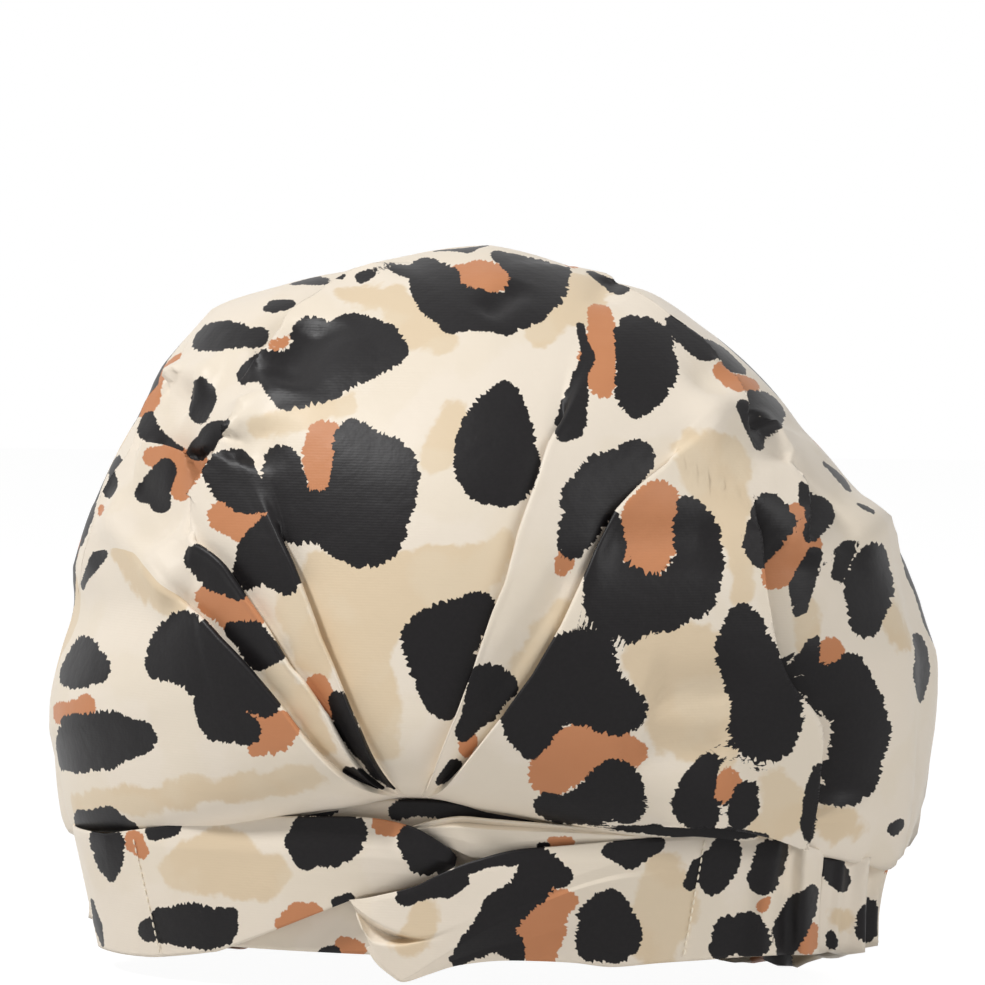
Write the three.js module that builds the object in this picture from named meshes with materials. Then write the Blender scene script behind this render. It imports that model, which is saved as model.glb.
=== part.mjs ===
// A turban shower cap: a pleated and lined crown on a tapered head band, which is crossed in a
// twist at the front and gathered over elastic at the back.
// Millimetres, +Z up. The wearer looks along -Y, and the cap stands on the floor at z = 0.
import * as THREE from "three";

// Head band: an oval loop that narrows towards its lower edge
const LOOP_WIDTH = 224;
const LOOP_DEPTH = 120;
const BAND_HEIGHT = 34;
const BAND_LIFT = 5; // the lower edge of the front band, above the floor
const BAND_TAPER = 6; // how far the lower edge is drawn in
const TWIST_RISE = 16; // the twist pushes the front of the hem up by this
const TWIST_SPREAD = 58;

// Crown: the printed outer bag, which stands out beyond the loop all round
const SIDE_OVERHANG = 15;
const FRONT_OVERHANG = 18;
const BACK_OVERHANG = 48;
const CROWN_WIDTH = LOOP_WIDTH + 2 * SIDE_OVERHANG;
const CROWN_DEPTH = LOOP_DEPTH + FRONT_OVERHANG + BACK_OVERHANG;
const LOOP_CENTRE_Y = (FRONT_OVERHANG - BACK_OVERHANG) / 2; // the crown's middle is at 0
const CROWN_TOP = 205;
const BULGE_HEIGHT = 80; // where the crown is widest
const CROWN_WALL = 1.2;
const BULGE_SHARE = 0.78; // share of the way from the top to the hem at which the bulge lies
const SLACK_DROP = 17; // the cloth is slack on one shoulder, which sinks by this
const SLACK_AT = new THREE.Vector2(0.5, 0.06); // on the crown laid out as a disc of radius 1
const SLACK_SPREAD = 0.3;
const SHOULDER_SWELL = 8; // the cloth is full on the other shoulder, which stands out by this
const SHOULDER_AT = new THREE.Vector2(-0.31, -0.06);
const SHOULDER_SPREAD = new THREE.Vector2(0.12, 0.28);

// Sags of the cloth above the band: degrees round the hem, how far it sinks, and over how many degrees
const SAGS = [
  { at: -6, fall: 16, spread: 22 },
  { at: 188, fall: 8, spread: 20 },
  { at: 95, fall: 6, spread: 57 },
];
const SAG_SHARE = 0.88; // share of the way from the top to the hem at which the cloth sinks most
const SAG_ABOVE = 0.05;
const SAG_BELOW = 0.028;

// A deep fold down the side of the front, as places on the disc: its front side stands over its back side
const FOLD_LINE = [new THREE.Vector2(0.42, -0.32), new THREE.Vector2(0.56, -0.47), new THREE.Vector2(0.77, -0.5)];
const FOLD_RISE = 4;
const FOLD_DEPTH = 4;
const FOLD_SPREAD = 0.11;
const FOLD_EDGE = 0.03;
const FOLD_FADE = 0.8; // share of the way to the hem at which it starts to fade

// Pleats: folds that fan out over the crown from one point on the front of its hem
const PLEAT_DEPTH = 6;
const PLEAT_ANGLES = [54, 66, 114, 122, 129]; // degrees at that point, counted from the right hem
const PLEAT_HALF_ANGLE = 2.2;
const PLEAT_TOPS = [-1, -1, 1, 1, 1]; // the side whose cloth lies on top: -1 is the right one
const PLEAT_CREST = 3; // how far that side stands up
const PLEAT_CREST_ANGLE = 9; // over how many degrees it does
const PLEAT_START = 0.06; // along the fan, where 2 reaches the back of the hem
const PLEAT_FULL = 0.24;
const PLEAT_FADE = 0.42;
const PLEAT_END = 0.85;
const RIGHT_RAY_ANGLES = [5, 10, 15, 20, 26, 33, 40, 47];
const MIDDLE_RAY_ANGLES = [76, 84, 90, 98, 106];
const LEFT_RAY_ANGLES = [136, 143, 149, 155, 160, 165, 170, 175];
const STEPS_ALONG_RAY = 16; // an even count puts a point at the very top

// Waterproof lining inside the crown
const LINING_WALL = 0.8;
const LINING_GAP = 0.8; // from the foot of a pleat to the lining
const LINING_HEM_GAP = 0.9; // from the crown's hem up to the lining's
const LINING_COLUMNS = 36;
const LINING_ROWS = 10;

// Layers of the band, as distances outwards from the loop's own line
const BACKING_HALF = 1.2;
const LAYER_GAP = 0.3;
const ELASTIC_GAP = 0.35;
const ELASTIC_THICKNESS = 1;
const ELASTIC_WIDTH = 25;
const FRONT_LAYER = 2.4;
const EDGE_ROUND = 1;

// Angles round the loop in degrees: 0 is the wearer's left side, which shows on the right, and -90 the front
const FRONT = -90;
const CASING_REACH = 62; // from the front to where the gathered casing starts, on both sides
const STITCH_REACH = 44; // from the front to the stitches that hold the ends of the elastic
const ELASTIC_PAST_STITCHES = 1.5;
const FLAT_PAST_STITCHES = 6;

// Gathered casing at the back
const CASING_GATHERS = 24;
const STEPS_PER_GATHER = 4;
const GATHER_DEPTH = 2;
const CASING_SAG_FROM = 0.1; // sine of the loop angle where the lower edge starts to sag to the floor
const CASING_SAG_TO = 0.75;

// Thread and tape
const THREAD_RADIUS = 0.4;
const THREAD_WAIST = 0.26;
const STITCH_PITCH = 2.4;
const STITCH_MARGIN = 3; // from the row's ends to the edges of the band
const TACK_LENGTH = 12;
const TAPE_HEIGHT = 8;
const TAPE_THICKNESS = 0.8;
const SEAM_GAP = 0.35; // between parts that are sewn edge to edge
const HEM_OUTWARDS = 1; // the crown's hem stops this far outside the loop's line

const PRINT = new THREE.MeshStandardMaterial({ color: 0xe3d5c3, roughness: 0.5, metalness: 0 });
const FILM = new THREE.MeshStandardMaterial({ color: 0xeeeae2, roughness: 0.35, metalness: 0 });
const WEBBING = new THREE.MeshStandardMaterial({ color: 0xf4f1ea, roughness: 0.8, metalness: 0 });
const THREAD = new THREE.MeshStandardMaterial({ color: 0xf0e2c6, roughness: 0.7, metalness: 0 });

const EPSILON = 1e-6;
const radians = THREE.MathUtils.degToRad;
const { lerp, clamp, smoothstep } = THREE.MathUtils;

// The band's outlines

function loopNormal(angle) {
  const t = radians(angle);
  return new THREE.Vector2(LOOP_DEPTH * Math.cos(t), LOOP_WIDTH * Math.sin(t)).normalize();
}

// A point beside the loop's line, drawn in towards the lower edge as the band is.
function loopPoint(angle, outwards, height) {
  const t = radians(angle);
  const drawnIn = BAND_TAPER * (1 - clamp((height - BAND_LIFT) / BAND_HEIGHT, 0, 1));
  const shift = loopNormal(angle).multiplyScalar(outwards - drawnIn);
  const x = (LOOP_WIDTH / 2) * Math.cos(t) + shift.x;
  const y = LOOP_CENTRE_Y + (LOOP_DEPTH / 2) * Math.sin(t) + shift.y;
  return new THREE.Vector3(x, y, height);
}

// Degrees round the loop that a length along it takes up.
function arcDegrees(angle, length) {
  const t = radians(angle);
  const speed = Math.hypot((LOOP_WIDTH / 2) * Math.sin(t), (LOOP_DEPTH / 2) * Math.cos(t));
  return THREE.MathUtils.radToDeg(length / speed);
}

function bandTop(angle) {
  const t = radians(angle);
  const across = (LOOP_WIDTH / 2) * Math.cos(t);
  const rise = Math.sin(t) < 0 ? TWIST_RISE * Math.exp(-((across / TWIST_SPREAD) ** 2)) : 0;
  return BAND_LIFT + BAND_HEIGHT + rise;
}

function casingBottom(angle) {
  return BAND_LIFT * (1 - smoothstep(Math.sin(radians(angle)), CASING_SAG_FROM, CASING_SAG_TO));
}

// Solids from rings of points

function geometryOf(points, triangles) {
  const geometry = new THREE.BufferGeometry();
  geometry.setAttribute("position", new THREE.Float32BufferAttribute(points.flatMap((p) => [p.x, p.y, p.z]), 3));
  geometry.setIndex(triangles.flat());
  geometry.computeVertexNormals();
  return geometry;
}

function quad(a, b, c, d) {
  return [
    [a, b, c],
    [a, c, d],
  ];
}

// The skin between rings of equal length. Each ring runs clockwise seen from the ring after it.
function wallFaces(ringCount, ringSize, first, closed) {
  const faces = [];
  const spans = closed ? ringCount : ringCount - 1;
  for (let i = 0; i < spans; i += 1) {
    const here = first + i * ringSize;
    const next = first + ((i + 1) % ringCount) * ringSize;
    for (let j = 0; j < ringSize; j += 1) {
      const k = (j + 1) % ringSize;
      faces.push(...quad(here + j, next + j, next + k, here + k));
    }
  }
  return faces;
}

function flipped(faces) {
  return faces.map(([a, b, c]) => [a, c, b]);
}

// A bar through the rings, with flat ends.
function barGeometry(rings) {
  const size = rings[0].length;
  const points = rings.flat();
  const faces = wallFaces(rings.length, size, 0, false);
  const last = (rings.length - 1) * size;
  for (let j = 1; j < size - 1; j += 1) {
    faces.push([0, j, j + 1]);
    faces.push([last, last + j + 1, last + j]);
  }
  return geometryOf(points, faces);
}

function hoopGeometry(rings) {
  return geometryOf(rings.flat(), wallFaces(rings.length, rings[0].length, 0, true));
}

// A bar with a bore: each outer ring has twice as many points as the bore's ring inside it.
function sleeveGeometry(outerRings, boreRings) {
  const outerSize = outerRings[0].length;
  const boreSize = boreRings[0].length;
  const count = outerRings.length;
  const boreFirst = count * outerSize;
  const points = [...outerRings.flat(), ...boreRings.flat()];
  const faces = wallFaces(count, outerSize, 0, false);
  faces.push(...flipped(wallFaces(count, boreSize, boreFirst, false)));
  const endFaces = (ring) => {
    const outer = (j) => ring * outerSize + (j % outerSize);
    const bore = (j) => boreFirst + ring * boreSize + (j % boreSize);
    const found = [];
    for (let j = 0; j < boreSize; j += 1) {
      found.push([bore(j), outer(2 * j), outer(2 * j + 1)]);
      found.push(...quad(bore(j), outer(2 * j + 1), outer(2 * j + 2), bore(j + 1)));
    }
    return found;
  };
  faces.push(...endFaces(0), ...flipped(endFaces(count - 1)));
  return geometryOf(points, faces);
}

// A cross-section of the band between two distances from the loop and two heights, with eased edges.
function bandSection(angle, inner, outer, low, high) {
  const ease = Math.min(EDGE_ROUND, (outer - inner) / 3, (high - low) / 3);
  return [
    loopPoint(angle, inner, low + ease),
    loopPoint(angle, inner + ease, low),
    loopPoint(angle, outer - ease, low),
    loopPoint(angle, outer, low + ease),
    loopPoint(angle, outer, high - ease),
    loopPoint(angle, outer - ease, high),
    loopPoint(angle, inner + ease, high),
    loopPoint(angle, inner, high - ease),
  ];
}

function plainSection(angle, inner, outer, low, high) {
  return [
    loopPoint(angle, inner, low),
    loopPoint(angle, outer, low),
    loopPoint(angle, outer, high),
    loopPoint(angle, inner, high),
  ];
}

function anglesBetween(from, to, count) {
  return Array.from({ length: count + 1 }, (_, i) => lerp(from, to, i / count));
}

// The crown, laid out on a disc: the top is its middle and the hem its rim

function hemPoint(angle, lift) {
  return loopPoint(angle, HEM_OUTWARDS, bandTop(angle) + SEAM_GAP + lift);
}

function slackDrop(x, y) {
  const share = Math.min(Math.hypot(x, y) / BULGE_SHARE, 1);
  const away = Math.hypot(x - SLACK_AT.x, y - SLACK_AT.y) / SLACK_SPREAD;
  return SLACK_DROP * Math.exp(-(away ** 2)) * (1 - share ** 4);
}

// The smooth bag at a place on the disc. Inset draws its bulge in, and lift raises its hem.
function bagPoint(x, y, inset, lift) {
  const share = Math.min(Math.hypot(x, y), 1);
  const angle = Math.atan2(y, x);
  const halfWidth = CROWN_WIDTH / 2 - inset;
  const halfDepth = CROWN_DEPTH / 2 - inset;
  const rim = new THREE.Vector3(halfWidth * Math.cos(angle), halfDepth * Math.sin(angle), BULGE_HEIGHT);
  if (share <= BULGE_SHARE) {
    const turn = ((Math.PI / 2) * share) / BULGE_SHARE;
    const up = (CROWN_TOP - inset - BULGE_HEIGHT) * Math.cos(turn) - slackDrop(x, y);
    return new THREE.Vector3(rim.x * Math.sin(turn), rim.y * Math.sin(turn), BULGE_HEIGHT + up);
  }
  const turn = ((Math.PI / 2) * (share - BULGE_SHARE)) / (1 - BULGE_SHARE);
  const hem = hemPoint(THREE.MathUtils.radToDeg(angle), lift);
  const inwards = 1 - Math.cos(turn);
  return new THREE.Vector3(
    lerp(rim.x, hem.x, inwards),
    lerp(rim.y, hem.y, inwards),
    lerp(BULGE_HEIGHT, hem.z, Math.sin(turn)),
  );
}

function normalOf(pointAt, x, y) {
  const step = 1e-3;
  const keep = Math.min(1, (1 - 2 * step) / Math.max(Math.hypot(x, y), step));
  const at = (dx, dy) => pointAt(x * keep + dx, y * keep + dy);
  const alongX = at(step, 0).sub(at(-step, 0));
  const alongY = at(0, step).sub(at(0, -step));
  return alongX.cross(alongY).normalize();
}

function bagNormal(x, y, inset, lift) {
  return normalOf((u, v) => bagPoint(u, v, inset, lift), x, y);
}

function shoulderSwell(x, y) {
  const across = (x - SHOULDER_AT.x) / SHOULDER_SPREAD.x;
  const along = (y - SHOULDER_AT.y) / SHOULDER_SPREAD.y;
  return SHOULDER_SWELL * Math.exp(-(across ** 2) - along ** 2);
}

// The deep fold's height: it stands up on the front side of its line and sinks behind it.
function foldHeight(x, y) {
  const place = new THREE.Vector2(x, y);
  let nearest = { away: Infinity, side: 0 };
  for (let k = 0; k < FOLD_LINE.length - 1; k += 1) {
    const ahead = FOLD_LINE[k + 1].clone().sub(FOLD_LINE[k]);
    const off = place.clone().sub(FOLD_LINE[k]);
    const share = clamp(off.dot(ahead) / ahead.lengthSq(), 0, 1);
    const away = off.clone().addScaledVector(ahead, -share).length();
    if (away < nearest.away) nearest = { away, side: Math.sign(ahead.cross(off)) };
  }
  const behind = smoothstep(nearest.side * nearest.away, -FOLD_EDGE, FOLD_EDGE);
  const held = 1 - smoothstep(place.length(), FOLD_FADE, 1);
  return lerp(FOLD_RISE, -FOLD_DEPTH * held, behind) * Math.exp(-nearest.away / FOLD_SPREAD) * Math.sqrt(held);
}

function sag(x, y) {
  const share = Math.hypot(x, y);
  const angle = THREE.MathUtils.radToDeg(Math.atan2(y, x));
  const off = (share - SAG_SHARE) / (share < SAG_SHARE ? SAG_ABOVE : SAG_BELOW);
  const falls = SAGS.map(({ at, fall, spread }) => {
    const turn = THREE.MathUtils.euclideanModulo(angle - at + 180, 360) - 180;
    return fall * Math.exp(-((turn / spread) ** 2));
  });
  return Math.max(...falls) * Math.exp(-(off ** 2));
}

// The crown's cloth before it is pleated.
function clothPoint(x, y) {
  const point = bagPoint(x, y, 0, 0);
  point.addScaledVector(bagNormal(x, y, 0, 0), shoulderSwell(x, y) + foldHeight(x, y));
  point.z -= sag(x, y);
  return point;
}

// How deep the pleats cut in at an angle of the fan and a distance along it. Less than 0 stands up.
function pleatCut(angle, along) {
  const rise = smoothstep(along, PLEAT_START, PLEAT_FULL);
  const fall = 1 - smoothstep(along, PLEAT_FADE, PLEAT_END);
  const nearest = Math.min(...PLEAT_ANGLES.map((pleat) => Math.abs(pleat - angle)));
  const crests = PLEAT_ANGLES.map((pleat, k) => {
    const past = PLEAT_TOPS[k] * (angle - pleat) - PLEAT_HALF_ANGLE;
    return past > -EPSILON ? Math.exp(-past / PLEAT_CREST_ANGLE) : 0;
  });
  const cut = PLEAT_DEPTH * rise * Math.max(0, 1 - nearest / PLEAT_HALF_ANGLE);
  const crest = nearest < PLEAT_HALF_ANGLE - EPSILON ? 0 : PLEAT_CREST * Math.max(...crests);
  return fall * (cut - crest * smoothstep(along, PLEAT_FULL, PLEAT_FADE));
}

function fanAngles() {
  const sides = PLEAT_ANGLES.flatMap((pleat) => [pleat - PLEAT_HALF_ANGLE, pleat, pleat + PLEAT_HALF_ANGLE]);
  const plain = [...RIGHT_RAY_ANGLES, ...MIDDLE_RAY_ANGLES, ...LEFT_RAY_ANGLES];
  return [...plain, ...sides].sort((a, b) => a - b);
}

// A closed shell from two sheets of rays that leave one shared point: outside first, then inside.
function fanShell(outerTip, innerTip, outerRays, innerRays) {
  const rays = outerRays.length;
  const size = outerRays[0].length;
  const points = [outerTip, innerTip, ...outerRays.flat(), ...innerRays.flat()];
  const outer = (i, j) => 2 + i * size + j;
  const inner = (i, j) => 2 + (rays + i) * size + j;
  const faces = [];
  for (let i = 0; i < rays - 1; i += 1) {
    faces.push([0, outer(i, 0), outer(i + 1, 0)], [1, inner(i + 1, 0), inner(i, 0)]);
    for (let j = 0; j < size - 1; j += 1) {
      faces.push(...quad(outer(i, j), outer(i, j + 1), outer(i + 1, j + 1), outer(i + 1, j)));
      faces.push(...quad(inner(i, j), inner(i + 1, j), inner(i + 1, j + 1), inner(i, j + 1)));
    }
    faces.push(...quad(outer(i, size - 1), inner(i, size - 1), inner(i + 1, size - 1), outer(i + 1, size - 1)));
  }
  for (const [ray, turn] of [
    [0, (f) => f],
    [rays - 1, flipped],
  ]) {
    const edge = [[0, 1, inner(ray, 0)], [0, inner(ray, 0), outer(ray, 0)]];
    for (let j = 0; j < size - 1; j += 1) {
      edge.push(...quad(outer(ray, j), inner(ray, j), inner(ray, j + 1), outer(ray, j + 1)));
    }
    faces.push(...turn(edge));
  }
  return geometryOf(points, faces);
}

function crownGeometry() {
  const wallAt = (x, y, cut) => {
    const normal = normalOf(clothPoint, x, y);
    const outside = clothPoint(x, y).addScaledVector(normal, -cut);
    return [outside, outside.clone().addScaledVector(normal, -CROWN_WALL)];
  };
  const [outerTip, innerTip] = wallAt(0, -1, 0);
  const outerRays = [];
  const innerRays = [];
  for (const angle of fanAngles()) {
    const reach = 2 * Math.sin(radians(angle));
    const walls = [];
    for (let j = 1; j <= STEPS_ALONG_RAY; j += 1) {
      const along = (reach * (1 - Math.cos((Math.PI * j) / STEPS_ALONG_RAY))) / 2;
      const x = along * Math.cos(radians(angle));
      const y = -1 + along * Math.sin(radians(angle));
      walls.push(wallAt(x, y, pleatCut(angle, along)));
    }
    outerRays.push(walls.map(([outside]) => outside));
    innerRays.push(walls.map(([, inside]) => inside));
  }
  return fanShell(outerTip, innerTip, outerRays, innerRays);
}

function liningGeometry() {
  const inset = PLEAT_DEPTH + CROWN_WALL + LINING_GAP;
  const lift = CROWN_WALL + LINING_HEM_GAP;
  const points = [];
  const addSheet = (depth) => {
    const first = points.length;
    points.push(bagPoint(0, 0, inset, lift).addScaledVector(bagNormal(0, 0, inset, lift), -depth));
    for (let j = 1; j <= LINING_ROWS; j += 1) {
      for (let i = 0; i < LINING_COLUMNS; i += 1) {
        const share = j / LINING_ROWS;
        const angle = (2 * Math.PI * i) / LINING_COLUMNS;
        const x = share * Math.cos(angle);
        const y = share * Math.sin(angle);
        const normal = bagNormal(x, y, inset, lift);
        points.push(bagPoint(x, y, inset, lift).addScaledVector(normal, -depth));
      }
    }
    const at = (j, i) => first + 1 + (j - 1) * LINING_COLUMNS + (i % LINING_COLUMNS);
    const faces = [];
    for (let i = 0; i < LINING_COLUMNS; i += 1) {
      faces.push([first, at(1, i), at(1, i + 1)]);
      for (let j = 1; j < LINING_ROWS; j += 1) {
        faces.push(...quad(at(j, i), at(j + 1, i), at(j + 1, i + 1), at(j, i + 1)));
      }
    }
    return { at, faces };
  };
  const outside = addSheet(0);
  const inside = addSheet(LINING_WALL);
  const faces = [...outside.faces, ...flipped(inside.faces)];
  for (let i = 0; i < LINING_COLUMNS; i += 1) {
    const edge = (sheet, k) => sheet.at(LINING_ROWS, k);
    faces.push(...quad(edge(outside, i), edge(inside, i), edge(inside, i + 1), edge(outside, i + 1)));
  }
  return geometryOf(points, faces);
}

// A narrow tape inside, over the raw edges of the crown and the lining.
function tapeGeometry() {
  const steps = LINING_COLUMNS * 2;
  const rings = [];
  for (let i = 0; i < steps; i += 1) {
    const angle = (360 * i) / steps;
    const low = bandTop(angle) + SEAM_GAP;
    rings.push(plainSection(angle, -SEAM_GAP - TAPE_THICKNESS, -SEAM_GAP, low, low + TAPE_HEIGHT));
  }
  return hoopGeometry(rings);
}

// The band's layers, from the head outwards

const ELASTIC_INNER = BACKING_HALF + ELASTIC_GAP;
const ELASTIC_OUTER = ELASTIC_INNER + ELASTIC_THICKNESS;
const POCKET_OUTER = ELASTIC_OUTER + ELASTIC_GAP;
const BAND_OUTER = POCKET_OUTER + FRONT_LAYER;
const FLAT_INNER = BACKING_HALF + LAYER_GAP;
const FLAT_OUTER = FLAT_INNER + FRONT_LAYER;
const CROSS_INNER = FLAT_OUTER + LAYER_GAP + EDGE_ROUND; // the right half passes over the left half
const CROSS_OUTER = CROSS_INNER + FRONT_LAYER + EDGE_ROUND;

function backingGeometry() {
  const end = CASING_REACH - arcDegrees(FRONT + CASING_REACH, SEAM_GAP);
  const rings = anglesBetween(FRONT - end, FRONT + end, 32).map((angle) =>
    bandSection(angle, -BACKING_HALF, BACKING_HALF, BAND_LIFT, bandTop(angle)),
  );
  return barGeometry(rings);
}

// Each half of the front band is a list of stations: degrees from the front, the height of the lower
// edge above the band's own, the drop of the upper edge below the hem, and the layer's two faces.
const LEFT_STATIONS = [
  { from: -CASING_REACH, rise: 0, drop: 0, inner: POCKET_OUTER, outer: BAND_OUTER },
  { from: -STITCH_REACH + ELASTIC_PAST_STITCHES, rise: 0, drop: 0, inner: POCKET_OUTER, outer: BAND_OUTER },
  { from: -STITCH_REACH + FLAT_PAST_STITCHES, rise: 0.5, drop: 0.5, inner: FLAT_INNER, outer: FLAT_OUTER },
  { from: -30, rise: 3.5, drop: 2, inner: FLAT_INNER, outer: FLAT_OUTER },
  { from: -15, rise: 14, drop: 6, inner: FLAT_INNER, outer: FLAT_OUTER },
  { from: -7, rise: 20, drop: 8, inner: FLAT_INNER, outer: FLAT_OUTER },
  { from: 1, rise: 25, drop: 9, inner: FLAT_INNER, outer: FLAT_OUTER },
  { from: 6, rise: 30, drop: 13, inner: FLAT_INNER, outer: FLAT_OUTER },
];
const RIGHT_STATIONS = [
  { from: CASING_REACH, rise: 0, drop: 0, inner: POCKET_OUTER, outer: BAND_OUTER },
  { from: STITCH_REACH - ELASTIC_PAST_STITCHES, rise: 0, drop: 0, inner: POCKET_OUTER, outer: BAND_OUTER },
  { from: STITCH_REACH - FLAT_PAST_STITCHES, rise: 0, drop: 1, inner: FLAT_INNER, outer: FLAT_OUTER },
  { from: 28, rise: 0, drop: 5, inner: FLAT_INNER, outer: FLAT_OUTER },
  { from: 16, rise: -0.5, drop: 13, inner: FLAT_INNER + LAYER_GAP, outer: FLAT_OUTER + EDGE_ROUND },
  { from: 9, rise: -2, drop: 19, inner: CROSS_INNER, outer: CROSS_OUTER },
  { from: 0, rise: -BAND_LIFT, drop: 26, inner: CROSS_INNER, outer: CROSS_OUTER },
  { from: -6, rise: -2, drop: 29, inner: CROSS_INNER, outer: CROSS_OUTER },
  { from: -10, rise: 10, drop: 31, inner: CROSS_INNER, outer: CROSS_OUTER - EDGE_ROUND },
];
const STEPS_PER_STATION = 5;

function stationSection({ from, rise, drop, inner, outer }) {
  const angle = FRONT + from;
  return bandSection(angle, inner, outer, BAND_LIFT + rise, bandTop(angle) - drop);
}

// The band's edges run through the stations as smooth curves, and its faces straight between them.
function halfBandGeometry(stations) {
  const spans = stations.length - 1;
  const lower = new THREE.SplineCurve(stations.map(({ from, rise }) => new THREE.Vector2(from, rise)));
  const upper = new THREE.SplineCurve(stations.map(({ from, drop }) => new THREE.Vector2(from, drop)));
  const rings = [];
  for (let k = 0; k <= spans * STEPS_PER_STATION; k += 1) {
    const place = k / STEPS_PER_STATION;
    const i = Math.min(Math.floor(place), spans - 1);
    const between = (key) => lerp(stations[i][key], stations[i + 1][key], place - i);
    const edge = lower.getPoint(place / spans);
    rings.push(
      stationSection({
        from: edge.x,
        rise: edge.y,
        drop: upper.getPoint(place / spans).y,
        inner: between("inner"),
        outer: between("outer"),
      }),
    );
  }
  const startsAtLeft = stations[0].from < stations.at(-1).from;
  return barGeometry(startsAtLeft ? rings : rings.reverse());
}

const ELASTIC_LOW = BAND_LIFT + (BAND_HEIGHT - ELASTIC_WIDTH) / 2;

function casingGeometry() {
  const start = FRONT + CASING_REACH;
  const end = FRONT + 360 - CASING_REACH;
  const high = BAND_LIFT + BAND_HEIGHT;
  const outerRings = [];
  const boreRings = [];
  for (const angle of anglesBetween(start, end, CASING_GATHERS * STEPS_PER_GATHER)) {
    const turns = (CASING_GATHERS * (angle - start)) / (end - start);
    const swell = GATHER_DEPTH * Math.sin(Math.PI * turns) ** 2;
    const low = casingBottom(angle);
    outerRings.push(bandSection(angle, -BACKING_HALF, BAND_OUTER + swell, low, high));
    const boreLow = ELASTIC_LOW - ELASTIC_GAP;
    const boreHigh = ELASTIC_LOW + ELASTIC_WIDTH + ELASTIC_GAP;
    boreRings.push(plainSection(angle, BACKING_HALF, POCKET_OUTER, boreLow, boreHigh));
  }
  return sleeveGeometry(outerRings, boreRings);
}

function elasticGeometry() {
  const reach = STITCH_REACH - ELASTIC_PAST_STITCHES / 2;
  const high = ELASTIC_LOW + ELASTIC_WIDTH;
  const rings = anglesBetween(FRONT + reach, FRONT + 360 - reach, CASING_GATHERS * 3).map((angle) =>
    plainSection(angle, ELASTIC_INNER, ELASTIC_OUTER, ELASTIC_LOW, high),
  );
  return barGeometry(rings);
}

// A row of stitches as one thread that swells at each stitch. The frame's u and v span its section.
function threadGeometry(pointAt, length, u, v) {
  const sides = 5;
  const stitches = Math.max(1, Math.round(length / STITCH_PITCH));
  const steps = stitches * 3;
  const rings = [];
  for (let i = 0; i <= steps; i += 1) {
    const share = i / steps;
    const swell = Math.abs(Math.sin(Math.PI * stitches * share));
    const radius = lerp(THREAD_WAIST, THREAD_RADIUS, swell);
    const centre = pointAt(share);
    rings.push(
      Array.from({ length: sides }, (_, k) => {
        const turn = (2 * Math.PI * k) / sides;
        return centre
          .clone()
          .addScaledVector(u, radius * Math.cos(turn))
          .addScaledVector(v, radius * Math.sin(turn));
      }),
    );
  }
  return barGeometry(rings);
}

function anchorStitchesGeometry(side) {
  const angle = FRONT + side * STITCH_REACH;
  const low = BAND_LIFT + STITCH_MARGIN;
  const length = BAND_HEIGHT - 2 * STITCH_MARGIN;
  const outwards = BAND_OUTER + LAYER_GAP + THREAD_RADIUS;
  const normal = loopNormal(angle);
  const u = new THREE.Vector3(normal.x, normal.y, 0);
  const v = new THREE.Vector3(normal.y, -normal.x, 0);
  return threadGeometry((share) => loopPoint(angle, outwards, low + share * length), length, u, v);
}

function pleatTackGeometry() {
  const reach = arcDegrees(FRONT, TACK_LENGTH) / 2;
  const height = bandTop(FRONT) - THREAD_RADIUS - LAYER_GAP;
  const outwards = BACKING_HALF + LAYER_GAP + THREAD_RADIUS;
  const pointAt = (share) => loopPoint(lerp(FRONT - reach, FRONT + reach, share), outwards, height);
  return threadGeometry(pointAt, TACK_LENGTH, new THREE.Vector3(0, 0, 1), new THREE.Vector3(0, 1, 0));
}

// The cap, put together

function piece(name, geometry, material) {
  const mesh = new THREE.Mesh(geometry, material);
  mesh.name = name;
  return mesh;
}

const bag = new THREE.Group();
bag.add(piece("outer_crown", crownGeometry(), PRINT));
bag.add(piece("crown_lining", liningGeometry(), FILM));
bag.add(piece("seam_tape", tapeGeometry(), WEBBING));

const frontBand = new THREE.Group();
frontBand.add(piece("band_backing", backingGeometry(), PRINT));
frontBand.add(piece("front_band_left", halfBandGeometry(LEFT_STATIONS), PRINT));
frontBand.add(piece("front_band_right", halfBandGeometry(RIGHT_STATIONS), PRINT));
frontBand.add(piece("left_anchor_stitches", anchorStitchesGeometry(-1), THREAD));
frontBand.add(piece("right_anchor_stitches", anchorStitchesGeometry(1), THREAD));
frontBand.add(piece("pleat_tack_stitches", pleatTackGeometry(), THREAD));

const elasticBack = new THREE.Group();
elasticBack.add(piece("back_casing", casingGeometry(), PRINT));
elasticBack.add(piece("back_elastic", elasticGeometry(), WEBBING));

const showerCap = new THREE.Group();
showerCap.add(bag, frontBand, elasticBack);

export default showerCap;
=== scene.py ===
"""A turban shower cap: a pleated crown, a band crossed in a twist and a gathered elastic back.

Lengths are millimetres until a mesh is written, in metres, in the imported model's frame. Places
that were read off the photograph are pixels of its 985 by 985 frame.
"""
from __future__ import annotations

import logging
import math
from dataclasses import dataclass
from enum import Enum, IntEnum
from typing import Any, Sequence

import bmesh
import bpy
import numpy as np
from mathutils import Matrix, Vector
from mathutils.kdtree import KDTree


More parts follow.
